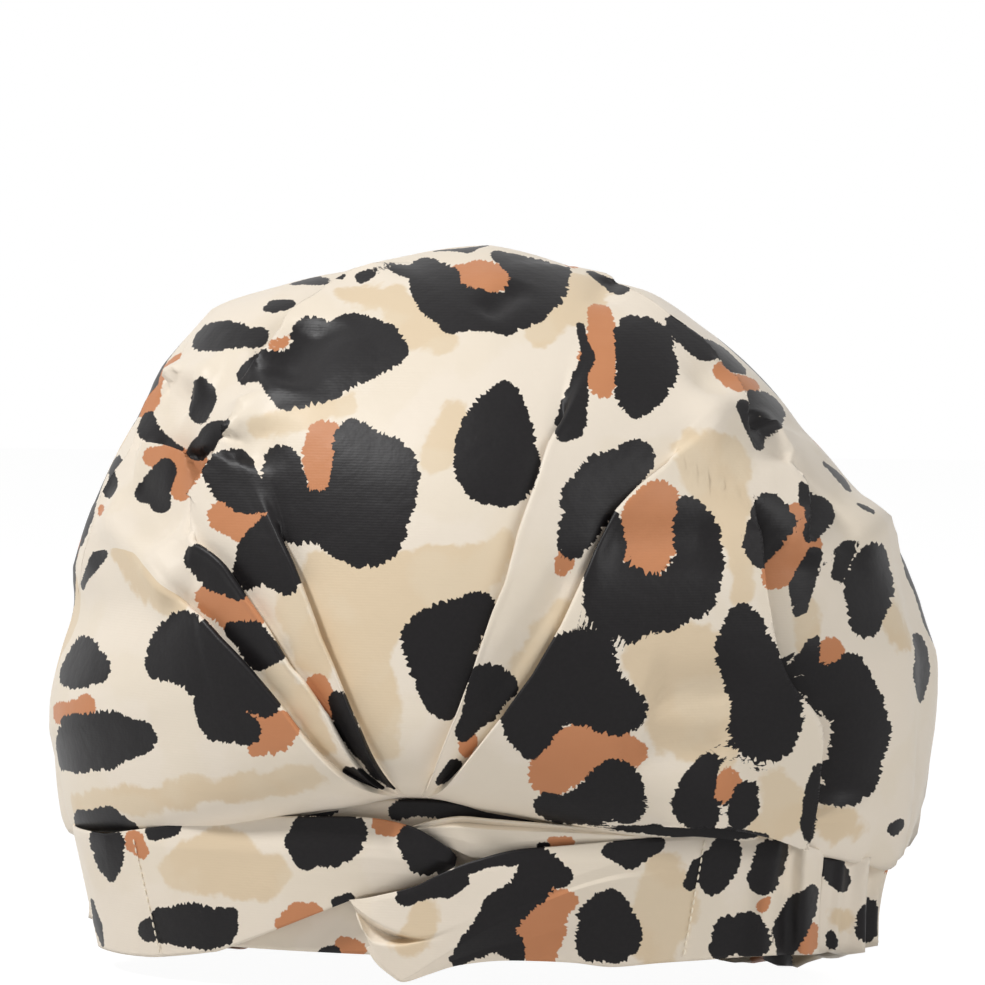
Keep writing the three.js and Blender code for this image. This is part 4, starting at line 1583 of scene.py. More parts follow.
@dataclass(frozen=True)
class Crown:
    """The printed bag with its tucks, from a fan of rays that start at the gathering point."""

    wall: float = 0.15
    first_angle: float = 1.6
    columns: tuple[int, ...] = (58, 14, 48, 13, 9, 54)
    rows_front: int = 88
    rows_back: int = 42
    fold_steps: tuple[Triple, ...] = (
        # share of the hidden width, share of the dip, share of the crest
        (0.00, -1.0, 0.0),
        (0.50, -1.1, 0.0),
        (0.93, -1.05, 0.0),
        (1.00, -0.75, 0.0),
        (0.93, -0.45, 0.0),
        (0.50, -0.40, 0.05),
        (0.10, -0.30, 0.20),
        (-0.04, -0.10, 0.45),
        (-0.08, 0.0, 0.75),
        (-0.03, 0.0, 0.97),
        (0.10, 0.0, 1.03),
    )
    under_steps: int = 6
    hidden_steps: int = 7
    strips: tuple[Cloth, ...] = (Cloth.RIGHT_STRIP, Cloth.INNER_STRIP, Cloth.OUTER_STRIP)
    spread: float = 0.34
    pressed: float = 0.04
    opening: Pair = (0.03, 0.2)
    tail: float = 0.45
    fold_from: float = 0.45
    fold_angle: float = 0.056
    crest_reach: float = 22.0
    dip_reach: float = 7.0
    refine: tuple[float, ...] = (4.6, 2.1, 0.95)
    snap: float = 0.34
    billow: float = 1.5
    gather: float = 2.0
    pleat: float = 4.0

    @staticmethod
    def on_disc(angle: Array, along: Array) -> Array:
        """Places on the disc at angles and distances from the gathering point."""
        return np.stack([along * np.cos(angle), along * np.sin(angle) - 1.0], axis=-1)

    def _edges(self) -> list[tuple[Array, Array, float, float]]:
        """Course of each tuck's edge over the disc.

        Returns:
            Distances, angles, and the distances at which the tuck starts to fade and ends.
        """
        angle, share = np.meshgrid(np.radians(np.arange(2, 178.01, 0.3)), np.linspace(0.01, 1, 300))
        disc = self.on_disc(angle, share * 2 * np.sin(angle)).reshape(-1, 2)
        lookup = Lookup(BAG.point(disc), BAG.normal(disc))
        found = []
        for tuck in TUCKS:
            place = disc[lookup.find(np.array(tuck.line, float))] - (0.0, -1.0)
            along = np.hypot(place[:, 0], place[:, 1])
            order = np.argsort(along)
            angles = np.arctan2(place[:, 1], place[:, 0])[order]
            along = along[order]
            found.append((along, angles, along[-1] * tuck.fade[0], along[-1] * tuck.fade[1]))
        return found

    def build(self) -> Piece:
        """Make the crown's mesh.

        Returns:
            The piece.
        """
        edges = self._edges()
        nominal = [float(angles[-3:].mean()) for _, angles, _, _ in edges]
        first = math.radians(self.first_angle)
        bounds = [first, *nominal, math.pi - first]
        front = np.linspace(0, 0.5, self.rows_front, endpoint=False)
        share = np.r_[front, np.linspace(0.5, 1.0, self.rows_back)]

        def course(k: int, along: Array) -> Array:
            """Course of bound k.

            Args:
                k: Number of the bound.
                along: Distances from the gathering point.

            Returns:
                Its angles there.
            """
            if k in (0, len(bounds) - 1):
                return np.full_like(along, bounds[k])
            reach, angles, _, _ = edges[k - 1]
            return np.interp(along, np.r_[reach, reach[-1] + self.tail], np.r_[angles, nominal[k - 1]])

        def strength(k: int, along: Array) -> Array:
            """How far tuck k is folded at distances from the gathering point."""
            _, _, fade, end = edges[k]
            return ease(*self.opening, along) * ease(end, fade, along)

        def room(k: int, along: Array) -> Array:
            """Room for the columns of bound k's fold.

            Args:
                k: Number of the bound.
                along: Distances from the gathering point.

            Returns:
                Half the angle that they take up.
            """
            if k in (0, len(bounds) - 1):
                return np.zeros_like(along)
            flat = np.maximum(1 - strength(k - 1, along), self.pressed)
            return math.radians(self.spread) * len(self.fold_steps) / 2 * flat

        angles, marks, folds = [], [], []
        for panel in range(len(bounds) - 1):
            count = self.columns[panel]
            parts = np.linspace(0, 1, count + 2)[1:-1] if panel else np.linspace(0, 1, count + 1)[:-1]
            for part in parts:
                middle = bounds[panel] + (bounds[panel + 1] - bounds[panel]) * part
                along = share * 2 * math.sin(middle)
                low = course(panel, along) + room(panel, along)
                high = course(panel + 1, along) - room(panel + 1, along)
                angles.append(low + (high - low) * part)
                marks.append(panel)
                folds.append(None)
            if panel == len(bounds) - 2:
                angles.append(np.full_like(share, bounds[-1]))
                marks.append(panel)
                folds.append(None)
                continue
            steps = list(enumerate(self.fold_steps))
            to_left = TUCKS[panel].over is Side.LEFT
            top, under = (panel + 1, panel) if to_left else (panel, panel + 1)
            for order, (number, step) in enumerate(steps if to_left else steps[::-1]):
                along = share * 2 * math.sin(bounds[panel + 1])
                flat = 1 - strength(panel, along)
                offset = math.radians(self.spread) * (order - (len(steps) - 1) / 2)
                angles.append(course(panel + 1, along) + offset * np.maximum(flat, self.pressed))
                hidden = 0.0 < step[0] and number < self.hidden_steps
                marks.append((under if number < self.under_steps else top) + (HIDDEN if hidden else 0))
                folds.append((panel, step))
        angle = np.stack(angles, axis=1)
        along = share[:, None] * 2 * np.sin(angle)
        turn = 0.01
        ahead, behind = self.on_disc(angle + turn, along), self.on_disc(angle - turn, along)
        per_radian = np.linalg.norm(BAG.point(ahead) - BAG.point(behind), axis=-1) / (2 * turn)
        lift = np.zeros(angle.shape)
        slide = np.zeros(angle.shape)
        for column, fold in enumerate(folds):
            r = along[:, column]
            if fold is not None:
                tuck, step = TUCKS[fold[0]], fold[1]
                held = strength(fold[0], r)
                hidden = np.minimum(tuck.hidden, self.fold_angle * per_radian[:, column])
                slide[:, column] += tuck.over.value * step[0] * hidden * ease(self.fold_from, 1.0, held)
                lift[:, column] += (step[1] * tuck.dip + step[2] * tuck.crest) * held
                continue
            panel = marks[column]
            for k in (panel - 1, panel):
                if not 0 <= k < len(TUCKS):
                    continue
                tuck = TUCKS[k]
                gap = np.abs(angle[:, column] - course(k + 1, r)) * per_radian[:, column]
                on_top = (k == panel - 1) == (tuck.over is Side.LEFT)
                width = np.abs(course(panel + 1, r) - course(panel, r)) * per_radian[:, column]
                if on_top:
                    narrow = np.clip(1 - gap / np.maximum(width, 1e-6), 0, 1)
                    shape = narrow if panel in self.strips else np.exp(-gap / self.crest_reach)
                    lift[:, column] += tuck.crest * shape * strength(k, r)
                else:
                    lift[:, column] -= tuck.dip * np.exp(-gap / self.dip_reach) * strength(k, r)
        disc = self.on_disc(angle + slide / np.maximum(per_radian, 1e-3), along)
        base, normal = BAG.point(disc), BAG.normal(disc)
        points = base + normal * (lift + self._slack(disc, base))[..., None]
        points[0] = points[0].mean(axis=0)
        bm = lay_grid(points, np.array(marks))
        self._crease(bm)
        thicken(bm, self.wall)
        return finish_mesh("printed_crown", bm)

    def _crease(self, bm: bmesh.types.BMesh) -> None:
        """Press the creases into the cloth, on a finer mesh along those with a crisp edge.

        Args:
            bm: The crown's cloth.
        """
        disc = on_circle(*grid_of(np.linspace(0.01, 1, 240), np.linspace(0, math.tau, 700))).reshape(-1, 2)
        points, normals = BAG.point(disc), BAG.normal(disc)
        lookup = Lookup(points, normals, 0.1)
        courses = [crease.on_bag(lookup, points, normals) for crease in CREASES]
        crisp = [course[0] for course, crease in zip(courses, CREASES) if crease.over]
        for reach in self.refine:
            tree = KDTree(sum(len(p) for p in crisp))
            for number, place in enumerate(np.concatenate(crisp)):
                tree.insert(place, number)
            tree.balance()
            middles = [(e, (e.verts[0].co + e.verts[1].co) / (2 * MM)) for e in bm.edges]
            self._split(bm, [e for e, middle in middles if tree.find(middle)[2] < reach])
        points = np.array([v.co[:] for v in bm.verts]) / MM
        plain = bm.verts.layers.float_vector.new("plain")
        for vertex in bm.verts:
            vertex[plain] = vertex.co
        for crease, course in zip(CREASES, courses):
            if crease.over:
                crease.snap(course, points, self.snap)
        moves = np.zeros_like(points)
        for crease, course in zip(CREASES, courses):
            move = crease.move(course, points)
            if crease.under is not None:
                move *= CREASES[crease.under].uncovered(courses[crease.under], points)[:, None]
            moves += move
        points = points + moves
        for vertex, point in zip(bm.verts, points * MM):
            vertex.co = point
        bmesh.ops.triangulate(bm, faces=[f for f in bm.faces if len(f.verts) > 4])

    @staticmethod
    def _split(bm: bmesh.types.BMesh, edges: list[bmesh.types.BMEdge]) -> None:
        """Split edges in two; a new point takes its mark from the nearest old one.

        Args:
            bm: The crown's cloth.
            edges: The edges to split.
        """
        layer = bm.verts.layers.int["panel"]
        old = set(bm.verts)
        tree = KDTree(len(old))
        marks = []
        for vertex in bm.verts:
            tree.insert(vertex.co, len(marks))
            marks.append(vertex[layer])
        tree.balance()
        bmesh.ops.subdivide_edges(bm, edges=edges, cuts=1, use_grid_fill=True, use_single_edge=True)
        for vertex in bm.verts:
            if vertex not in old:
                vertex[layer] = marks[tree.find(vertex.co)[1]]

    def _slack(self, disc: Array, base: Array) -> Array:
        """Soft billows of the cloth, and gathers where the hem meets the casing.

        Args:
            disc: Places on the disc.
            base: Points of the smooth bag there.

        Returns:
            How far the cloth is moved outwards.
        """
        share = np.hypot(disc[..., 0], disc[..., 1])
        turn = np.arctan2(disc[..., 1], disc[..., 0])
        billow = self.billow * Ripples(5, 120, 45).at(base) * ease(1.0, 0.8, share)
        wander = Ripples(9, 160, 60).at(base)
        back = ease(-0.45, 0.1, np.sin(turn))
        gathers = np.sin(turn * 33 + 2.2 * wander) + 0.5 * np.sin(turn * 57 + 3.0 * wander + 1.0)
        folds = np.abs(np.sin(turn * 9 + 1.6 * wander)) - 0.6
        hem = ease(0.80, 0.95, share) * ease(1.005, 0.985, share)
        upper = ease(0.45, 0.8, share) * ease(1.0, 0.9, share)
        return billow + back * (self.gather * gathers * hem + self.pleat * folds * upper)


# Lining and tape


@dataclass(frozen=True)
class Lining:
    """The waterproof bag inside the crown and the tape over the raw edges at its hem."""

    inset: float = 17.0
    lift: float = 2.4
    wall: float = 0.35
    rows: int = 56
    columns: int = 150
    hang: float = 0.3
    crinkle: float = 1.4
    tape_height: float = 8.0
    tape_wall: float = 0.8
    tape_out: float = -0.6
    tape_lift: float = 0.4
    tape_wave: float = 0.25
    tape_middle: Triple = (0, -15, 46)

    def build(self) -> Piece:
        """Make the lining's mesh.

        Returns:
            The piece.
        """
        share, angle = grid_of(np.linspace(0, 1, self.rows), np.linspace(0, math.tau, self.columns + 1))
        disc = on_circle(share, angle)
        base = BAG.point(disc, self.inset, self.lift, self.hang)
        held = ease(1.0, 0.9, share)
        slack = self.crinkle * Ripples(21, 70, 20).at(base) * held - self.crinkle
        points = base + BAG.normal(disc, self.inset) * (slack * held)[..., None]
        return lay_sheet("lining_bag", points, self.wall)

    def build_tape(self) -> Piece:
        """Make the tape's mesh, a flat ring with a slight wave.

        Returns:
            The piece.
        """
        up, angle = grid_of(np.linspace(0, 1, 6), np.linspace(0, math.tau, 301))
        wave = self.tape_wave * np.sin(angle * 41) * np.sin(math.pi * up)
        height = LOOP.top(angle) + self.tape_lift + up * self.tape_height
        points = LOOP.point(angle, self.tape_out + wave, height)
        tape = lay_sheet("hem_tape", points, self.tape_wall, middle=self.tape_middle)
        around = points_of(tape)[0]
        store(tape, "along", np.arctan2(around[:, 1], around[:, 0]) * 90)
        return tape


# The band

FORWARD = np.array([0.0, -1.0, 0.0])
BAND_CENTRE, BAND_HALF, BAND_FOOT = 422, 385, 967


def band_place(pixels: Array, out: Array) -> tuple[Array, Array]:
    """Places in front of the loop that show at pixels.

    Args:
        pixels: Places in the picture.
        out: Distances outwards from the loop.

    Returns:
        Angles round the loop and heights.
    """
    aside = (pixels[..., 0] - BAND_CENTRE) / BAND_HALF
    angle = np.arcsin(np.clip(aside, -0.98, 0.98)) - math.pi / 2
    height = (BAND_FOOT - pixels[..., 1]) * VIEW.pixel + 3.5
    for _ in range(12):
        miss = VIEW.to_picture(LOOP.point(angle, out, height)) - pixels
        by_angle = (VIEW.to_picture(LOOP.point(angle + 1e-4, out, height)) - pixels - miss) / 1e-4
        by_height = (VIEW.to_picture(LOOP.point(angle, out, height + 1e-2)) - pixels - miss) / 1e-2
        size = by_angle[..., 0] * by_height[..., 1] - by_angle[..., 1] * by_height[..., 0]
        size = np.where(np.abs(size) < 1.0, 1.0, size)
        turn = (miss[..., 0] * by_height[..., 1] - miss[..., 1] * by_height[..., 0]) / size
        rise = (by_angle[..., 0] * miss[..., 1] - by_angle[..., 1] * miss[..., 0]) / size
        angle = np.clip(angle - np.clip(turn, -0.2, 0.2), -math.pi * 0.99, -0.01 * math.pi)
        height = height - np.clip(rise, -8, 8)
    return angle, height


@dataclass(frozen=True)
class BandSheet:
    """One folded layer of the front band, through lines of pixels and distances from the loop."""

    name: str
    cloth: Cloth
    lines: tuple[tuple[Triple, ...], ...]
    wall: float = 0.6
    rows: int = 44
    columns: int = 130
    rounding: int = 2
    seed: int = 3
    wrap: float | None = None
    wrap_out: float = 4.4
    wrap_columns: int = 16
    ripple: float = 0.35

    def build(self) -> Piece:
        """Make the layer's mesh.

        Returns:
            The piece.
        """
        control = np.array(self.lines, float)
        along = np.stack([spline(line, np.linspace(0, len(line) - 1, self.columns)) for line in control])
        gaps = np.linalg.norm(np.diff(along[..., :2], axis=0), axis=-1).mean(axis=1) + 4
        knots = np.r_[0, np.cumsum(gaps)] / gaps.sum()
        at = np.unique(np.r_[np.linspace(0, 1, self.rows), knots])
        columns = range(self.columns)
        rows = [[np.interp(at, knots, along[:, i, k]) for i in columns] for k in range(3)]
        rows = np.swapaxes(np.stack(rows, axis=-1), 0, 1)
        for _ in range(self.rounding):
            rows[1:-1] = rows[:-2] * 0.25 + rows[1:-1] * 0.5 + rows[2:] * 0.25
        out = rows[..., 2]
        angle, height = band_place(rows[..., :2], out)
        if self.wrap is not None:
            share = np.linspace(1, 0, self.wrap_columns, endpoint=False)
            back = angle[:, :1] + (math.radians(self.wrap) - angle[:, :1]) * share
            angle = np.hstack([back, angle])
            height = np.hstack([np.repeat(height[:, :1], len(share), axis=1), height])
            out = np.hstack([out[:, :1] + (self.wrap_out - out[:, :1]) * share**2, out])
        points = LOOP.point(angle, out, height)
        points = points + FORWARD * (self.ripple * Ripples(self.seed, 60, 22).at(points))[..., None]
        return lay_sheet(self.name, points, self.wall, self.cloth, BAND_MIDDLE)


LEFT_HALF = BandSheet(
    "band_left_half",
    Cloth.BAND_LEFT,
    (
        (
            (104, 834, 6.6), (118, 832, 5.8), (133, 830, 5.2), (194, 822, 5), (226, 818, 4.6), (320, 816, 4.6),
            (373, 818, 5.2), (410, 826, 6.2), (432, 837, 6.6), (450, 849, 5.6), (457, 857, 3.6),
        ),
        (
            (107, 863, 6.0), (121, 861, 5.6), (136, 858, 5.4), (196, 850, 5.2), (230, 848, 5), (320, 846, 5.6),
            (373, 848, 6.6), (410, 852, 7.4), (432, 858, 7.2), (448, 864, 5.8), (455, 866, 4),
        ),
        (
            (114, 906, 5.0), (128, 905, 5.2), (146, 903, 5.4), (203, 897, 5.2), (238, 890, 5), (320, 876, 5.4),
            (373, 872, 6), (405, 874, 6.2), (425, 876, 5.4), (440, 874, 4.4), (447, 871, 3.6),
        ),
        (
            (122, 954, 4.4), (138, 956, 4.7), (160, 957, 5), (205, 953, 4.8), (231, 947, 4.6), (321, 912, 5),
            (361, 897, 5), (390, 892, 4.6), (412, 886, 4), (432, 879, 3.6), (441, 874, 3.2),
        ),
    ),
    columns=140,
    wrap=-177.0,
)
RIGHT_HALF = BandSheet(
    "band_right_half",
    Cloth.BAND_RIGHT,
    (
        (
            (824, 851, 4.3), (808, 846, 7.4), (792, 841, 4.1), (779, 838, 7.6), (752, 836, 5.0), (705, 835, 5),
            (660, 837, 4.8), (615, 841, 5.2), (560, 846, 6.2), (513, 850, 7.2), (470, 862, 8.2), (440, 874, 8.6),
            (420, 884, 8.4), (402, 890, 8), (385, 894, 7.6), (366, 898, 6.8), (349, 900, 6),
        ),
        (
            (824, 855, 4.3), (808, 850, 7.4), (792, 845, 4.1), (778, 842, 7.6), (751, 840, 5.2), (705, 839, 5.2),
            (660, 842, 5.4), (615, 848, 6), (560, 856, 7.2), (513, 865, 8.2), (470, 876, 9), (440, 885, 9.2),
            (420, 891, 9), (402, 896, 8.6), (385, 899, 8), (367, 902, 7.2), (351, 902, 6.2),
        ),
        (
            (823, 868, 4.3), (807, 864, 7.4), (791, 860, 4.1), (775, 857, 7.6), (749, 856, 5.2), (705, 855, 5.4),
            (660, 856, 5.8), (615, 864, 6.8), (565, 880, 8.4), (519, 898, 9.4), (479, 915, 9.8), (445, 930, 9.8),
            (421, 937, 9.6), (402, 934, 9.2), (385, 927, 8.8), (368, 917, 8.2), (353, 905, 6.6),
        ),
        (
            (822, 875, 4.3), (806, 871, 7.4), (790, 868, 4.1), (774, 865, 7.6), (748, 864, 5.2), (705, 863, 5.4),
            (660, 863, 5.8), (615, 870, 6.8), (566, 885, 8.4), (519, 902, 9.4), (479, 919, 9.8), (445, 934, 9.6),
            (421, 939, 8.4), (402, 938, 2.8), (386, 933, 2.2), (370, 924, 2.2), (356, 911, 3.2),
        ),
        (
            (822, 882, 4.3), (806, 878, 7.4), (790, 875, 4.1), (773, 873, 7.6), (748, 872, 5.2), (705, 871, 5.4),
            (660, 869, 5.8), (615, 875, 6.8), (567, 889, 8.4), (519, 907, 9.4), (479, 924, 9.8), (445, 940, 9.6),
            (421, 942, 9.2), (402, 945, 8.6), (386, 945, 8), (372, 942, 7.2), (363, 930, 6.2),
        ),
        (
            (821, 891, 4.3), (805, 887, 7.4), (789, 884, 4.1), (771, 882, 7.6), (747, 882, 5.2), (705, 880, 5.4),
            (660, 876, 6), (615, 880, 7.4), (568, 893, 8.8), (519, 914, 9.8), (479, 933, 10), (444, 955, 9.4),
            (427, 966, 9), (404, 979, 7.8), (392, 973, 7.2), (380, 962, 6.8), (370, 946, 6.4),
        ),
        (
            (820, 918, 4.3), (804, 917, 7.4), (786, 916, 4.1), (765, 915, 7.6), (744, 915, 5.2), (705, 915, 5.4),
            (660, 915, 5.8), (615, 915, 6.6), (572, 925, 6.8), (530, 938, 7), (490, 948, 7.2), (452, 961, 7.6),
            (430, 971, 7.6), (405, 980.5, 7), (391, 974, 6.6), (378, 962.5, 6.2), (368, 947, 5.8),
        ),
        (
            (819, 954, 4.3), (804, 955, 7.4), (786, 955, 4.1), (763, 956, 7.6), (742, 957, 5.0), (705, 960, 5),
            (660, 963, 5), (612, 967, 5.4), (575, 963, 5.8), (535, 961, 6.2), (495, 961, 6.6), (456, 966, 7),
            (430, 974, 7.2), (404, 982, 6.8), (390, 975, 6.4), (376, 963, 6), (366, 948, 5.6),
        ),
    ),
    rows=60,
    columns=190,
    rounding=1,
    seed=4,
)
UPPER_ROLL = BandSheet(
    "band_upper_roll",
    Cloth.ROLL,
    (
        (
            (650, 835, 4), (600, 830, 4.6), (560, 826, 5.2), (520, 823, 5.8), (490, 820.5, 6.2), (461, 818, 6.2),
            (437, 821, 5.6), (413, 827, 4.6),
        ),
        (
            (650, 836, 3.8), (600, 832.5, 4), (560, 829.5, 4.2), (520, 827, 4.4), (490, 825, 4.4), (461, 822.5, 4.4),
            (438, 824.5, 4.4), (414, 828.5, 4.2),
        ),
        (
            (650, 837, 4.2), (600, 834.5, 5), (560, 832.5, 5.8), (520, 831, 6.4), (490, 829.5, 6.8), (461, 827, 7),
            (439, 827.5, 5.4), (415, 829.5, 4.4),
        ),
        (
            (650, 838.5, 4.2), (600, 838, 5), (560, 839, 5.6), (520, 842, 6), (492, 845, 5.2), (468, 842, 6),
            (444, 836, 5), (419, 832, 4.2),
        ),
        (
            (650, 842, 3.6), (600, 844, 3.8), (560, 848, 4.2), (520, 855, 4.6), (494, 858, 4.4), (474, 858, 4.2),
            (455, 850, 4), (425, 838, 3.6),
        ),
    ),
    rows=36,
    columns=110,
    rounding=1,
    seed=6,
)


@dataclass(frozen=True)
class BandBacking:
    """The inner layer of the front band, to which the crown is sewn."""

    reach: Pair = (-174.0, -20.0)
    raised: float = 6.2
    out: float = 1.1
    wall: float = 0.9
    rows: int = 40
    columns: int = 170
    slack: float = 0.5
    most_slack: float = 0.2

    def build(self) -> Piece:
        """Make the backing's mesh.

        Returns:
            The piece.
        """
        around = np.radians(np.linspace(*self.reach, self.columns))
        up, angle = grid_of(np.linspace(0, 1, self.rows), around)
        height = LOOP.lift + self.raised + (LOOP.top(angle) - LOOP.lift - self.raised) * up
        points = LOOP.point(angle, self.out, height)
        slack = self.slack * Ripples(31, 60, 20).at(points) * np.sin(math.pi * up)
        points = LOOP.point(angle, self.out + np.minimum(slack, self.most_slack), height)
        return lay_sheet("band_backing_cloth", points, self.wall, Cloth.BACKING, BAND_MIDDLE)


@dataclass(frozen=True)
class GatheredBack:
    """The casing that is gathered round the back, with the elastic in it."""

    reach: Pair = (-23.0, 189.5)
    pitch: float = 10.0
    depth: float = 5.0
    base_out: float = 3.9
    base_in: float = -1.0
    wall: float = 0.4
    columns: int = 400
    wall_rows: int = 12
    fade_right: Pair = (4.0, 8.0)
    fade_left: Pair = (5.0, 12.0)
    sharpness: float = 1.7
    lowest: float = 0.25
    elastic_reach: float = 43.0
    elastic_low: float = 9.5
    elastic_width: float = 25.0
    elastic_out: float = 2.55
    elastic_wall: float = 1.0
    elastic_columns: int = 260
    elastic_above: float = 1.9

    def build_casing(self) -> Piece:
        """Make the casing: a flat tube of cloth in ruffles.

        Returns:
            The piece.
        """
        angle = np.radians(np.linspace(*self.reach, self.columns))
        line = LOOP.point(angle, 3.0, 22.0)
        arc = np.r_[0, np.cumsum(np.linalg.norm(np.diff(line, axis=0), axis=1))]
        fade = ease(*self.fade_right, arc) * ease(*self.fade_left, arc[-1] - arc)
        low, high = LOOP.bottom(angle), np.full_like(angle, LOOP.lift + LOOP.height)
        uneven = Ripples(12, 70, 25)
        deep = 0.65 + 0.35 * Ripples(14, 60, 25).at(line)
        rows = []
        ups = np.linspace(0.03, 0.97, self.wall_rows)
        downs = np.linspace(0.97, 0.03, self.wall_rows)
        walls = [*((1, up) for up in ups), (0.5, 1.0), *((0, up) for up in downs), (0.5, 0.0)]
        for out, up in [*walls, walls[0]]:
            here = LOOP.point(angle, 3.0, low + (high - low) * up)
            phase = 2 * math.pi * arc / self.pitch + 2.6 * uneven.at(here) + 0.9 * (up - 0.5)
            crest = (0.5 + 0.5 * np.sin(phase)) ** self.sharpness
            flare = 0.75 + 0.55 * (2 * up - 1) ** 2
            outer = self.base_out - 0.4 * (1 - fade) + self.depth * crest * deep * flare * fade
            inner = self.base_in - 1.3 * (1 - crest) * deep * fade
            edge = 0.9 * np.sin(phase * 0.5 + 1.0) * fade * (1 - 2 * abs(up - 0.5) < 0.1)
            height = np.maximum(low + (high - low) * up + edge, self.lowest)
            rows.append(LOOP.point(angle, inner + (outer - inner) * out, height))
        return lay_sheet("gathered_casing", np.stack(rows), self.wall, Cloth.CASING, BACK_MIDDLE)

    def build_elastic(self) -> Piece:
        """Make the elastic, a flat ribbed band.

        Returns:
            The piece.
        """
        first, last = -90 + self.elastic_reach, 270 - self.elastic_reach
        around = np.radians(np.linspace(first, last, self.elastic_columns))
        up, angle = grid_of(np.linspace(0, 1, 6), around)
        low = np.maximum(self.elastic_low, LOOP.bottom(angle) + self.elastic_above)
        points = LOOP.point(angle, self.elastic_out, low + up * self.elastic_width)
        elastic = lay_sheet("elastic_webbing", points, self.elastic_wall, middle=BACK_MIDDLE)
        store(elastic, "along", (points_of(elastic)[0][:, 2] - self.elastic_low) * 2.0)
        return elastic


@dataclass(frozen=True)
class StitchRow:
    """A row of separate stitches between two pixels of the band."""

    name: str
    ends: tuple[Pair, Pair]
    out: float
    pitch: float = 2.4
    length: float = 1.75
    radius: float = 0.27

    def build(self) -> Piece:
        """Make the row: each stitch is a rounded bar that dips into the cloth at both ends.

        Returns:
            The piece.
        """
        fine = evenly(np.array(self.ends, float), 80)
        angle, height = band_place(fine, np.full(len(fine), self.out))
        path = LOOP.point(angle, self.out, height)
        count = max(3, round(np.linalg.norm(path[-1] - path[0]) / self.pitch))
        stations = evenly(path, count * 2 + 1)
        bm = bmesh.new()
        for k in range(count):
            middle, ahead = stations[2 * k + 1], unit(stations[2 * k + 2] - stations[2 * k])
            made = bmesh.ops.create_uvsphere(bm, u_segments=8, v_segments=7, radius=1.0)
            turn = Vector(ahead).to_track_quat("Z", "Y").to_matrix()
            for vertex in made["verts"]:
                x, y, z = vertex.co
                local = Vector((x * self.radius, y * self.radius, z * self.length / 2))
                vertex.co = (Vector(middle) + turn @ local) * MM
        return finish_mesh(self.name, bm)


# Studio


@dataclass(frozen=True)
class Studio:
    """A pale floor and soft lamps, with the key from the upper left."""

    floor: float = 6.0
    key: float = 27.0
    key_at: Triple = (-0.95, -0.85, 1.55)
    key_size: float = 0.3
    fill: float = 13.0
    fill_at: Triple = (1.5, -0.75, 1.05)
    fill_size: float = 0.9
    aim: Triple = (0, 0, 0.11)
    ambient: float = 0.1

    def build(self) -> None:
        """Add the floor, the lamps and the world."""
        bm = bmesh.new()
        bmesh.ops.create_grid(bm, x_segments=4, y_segments=4, size=self.floor / 2)
        floor = finish_mesh("floor", bm)
        floor.data.materials.append(self._floor_material())
        self._lamp("key", self.key_at, self.key_size, self.key)
        self._lamp("fill", self.fill_at, self.fill_size, self.fill)
        self._world()
        bpy.context.scene.view_settings.view_transform = "Standard"

    @staticmethod
    def _floor_material() -> bpy.types.Material:
        """White floor that keeps a soft shadow.

        Returns:
            The material.
        """
        bench = Bench.material("floor_white")
        diffuse = bench.add("ShaderNodeBsdfDiffuse", {}, {"Color": (0.86, 0.86, 0.86, 1)})
        white = bench.add("ShaderNodeEmission", {}, {"Color": (1, 1, 1, 1), "Strength": 1.2})
        share = bench.background() * 0.8
        return bench.close(bench.add("ShaderNodeMixShader", {}, {0: share, 1: diffuse, 2: white}))

    def _lamp(self, name: str, place: Triple, size: float, power: float) -> None:
        """Add an area lamp that looks at the cap.

        Args:
            name: Its name.
            place: Where it is, in metres.
            size: How wide it is, in metres.
            power: Its power in watts.
        """
        data = bpy.data.lights.new(name, "AREA")
        data.shape = "DISK"
        data.size = size
        data.energy = power
        lamp = bpy.data.objects.new(name, data)
        lamp.location = place
        lamp.rotation_euler = (Vector(place) - Vector(self.aim)).to_track_quat("Z", "Y").to_euler()
        bpy.context.scene.collection.objects.link(lamp)

    def _world(self) -> None:
        """White where the camera looks, and a plain soft light elsewhere."""
        world = bpy.data.worlds.new("studio")
        bpy.context.scene.world = world
        bench = Bench(world)
        soft = bench.add("ShaderNodeBackground", {}, {"Color": (1, 1, 1, 1), "Strength": self.ambient})
        white = bench.add("ShaderNodeBackground", {}, {"Color": (1, 1, 1, 1), "Strength": 1.0})
        mixed = bench.add("ShaderNodeMixShader", {}, {0: bench.background(), 1: soft, 2: white})
        bench.add("ShaderNodeOutputWorld", {}, {"Surface": mixed})


# The cap, put together


@dataclass(frozen=True)
class Stretch:
    """Two points from the front to the back of the cap, which nothing reads; each piece only has its transform baked.
    """

    start: Triple = (0.0, -0.045, 0.02)
    end: Triple = (0.0, 0.040, 0.02)

    def blend(self, piece: Piece) -> None:
        """Bake a piece's transform into its mesh."""
        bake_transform(piece)


def dress(piece: Piece, material: bpy.types.Material, slot: str, *nodes: str) -> None:
    """Give a piece its material and hide the solids that it stands for.

    Args:
        piece: The piece.
        material: Its material.
        slot: Not used.
        nodes: The solids, if any.
    """
    piece.data.materials.append(material)
    if nodes:
        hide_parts(*nodes)
    LOG.info("%s: %d faces, %.4f m2 of cloth", piece.name, len(piece.data.polygons), cloth_area(piece))


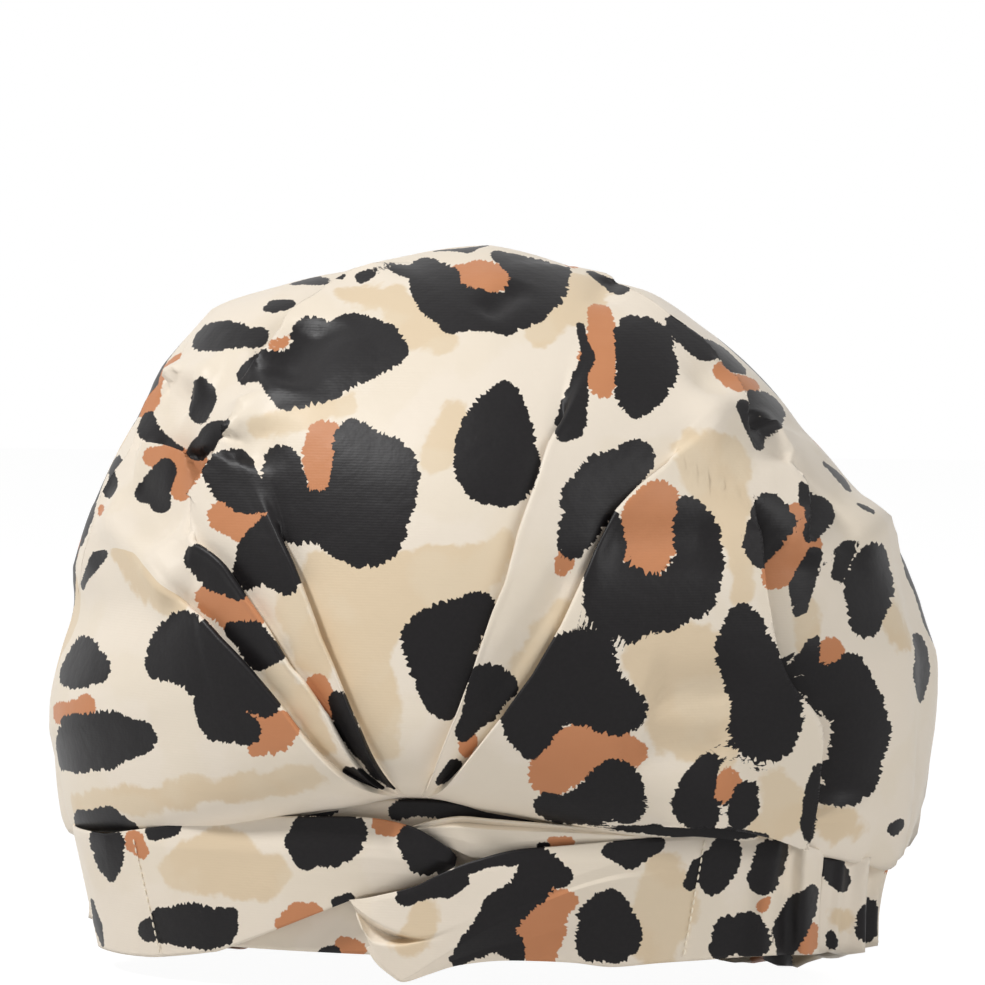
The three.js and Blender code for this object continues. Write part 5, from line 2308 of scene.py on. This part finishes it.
def main() -> None:
    """Build the cap's pieces and the studio."""
    logging.basicConfig(level=logging.INFO, format="%(message)s")
    VIEW.make_camera()
    Studio().build()
    cloth, ink = PrintedCloth().material(), LeopardPrint()
    stretch = Stretch()

    crown = Crown().build()
    ink.dress(crown, [c for c in Cloth if c <= Cloth.CROWN], 42, 7)
    dress(crown, cloth, "printed_cloth", "outer_crown")
    stretch.blend(crown)

    lining = Lining().build()
    dress(lining, LiningFilm().material(), "lining_film", "crown_lining")
    stretch.blend(lining)
    tape = Lining().build_tape()
    dress(tape, WovenTape("tape", "ece5d8", 6.0).material(), "tape", "seam_tape")
    stretch.blend(tape)

    backing = BandBacking().build()
    ink.dress(backing, [Cloth.BACKING], 0, 1)
    dress(backing, cloth, "printed_cloth", "band_backing")
    left, right, roll = LEFT_HALF.build(), RIGHT_HALF.build(), UPPER_ROLL.build()
    for piece, sheet, nodes in (
        (left, LEFT_HALF, ["front_band_left"]),
        (right, RIGHT_HALF, ["front_band_right"]),
        (roll, UPPER_ROLL, []),
    ):
        ink.dress(piece, [sheet.cloth], 0, 1)
        dress(piece, cloth, "printed_cloth", *nodes)
    for piece in (backing, left, right):
        stretch.blend(piece)
    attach(roll, "cap")

    back = GatheredBack()
    casing = back.build_casing()
    ink.dress(casing, [Cloth.CASING], 34, 11)
    dress(casing, cloth, "printed_cloth", "back_casing")
    elastic = back.build_elastic()
    dress(elastic, WovenTape("elastic", "f2eee6", 3.14).material(), "elastic", "back_elastic")
    for piece in (casing, elastic):
        stretch.blend(piece)

    thread = SewingThread().material()
    rows = (
        (StitchRow("left_stitches", ((133, 838), (160, 954)), 5.75), "left_anchor_stitches"),
        (StitchRow("right_stitches", ((705, 839), (684, 956)), 5.7), "right_anchor_stitches"),
        (StitchRow("pleat_stitches", ((392, 791), (436, 789)), 1.9), "pleat_tack_stitches"),
    )
    stitches = [row.build() for row, _ in rows]
    for piece, (_, node) in zip(stitches, rows):
        dress(piece, thread, "thread", node)
        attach(piece, "cap")


if __name__ == "__main__":
    main()
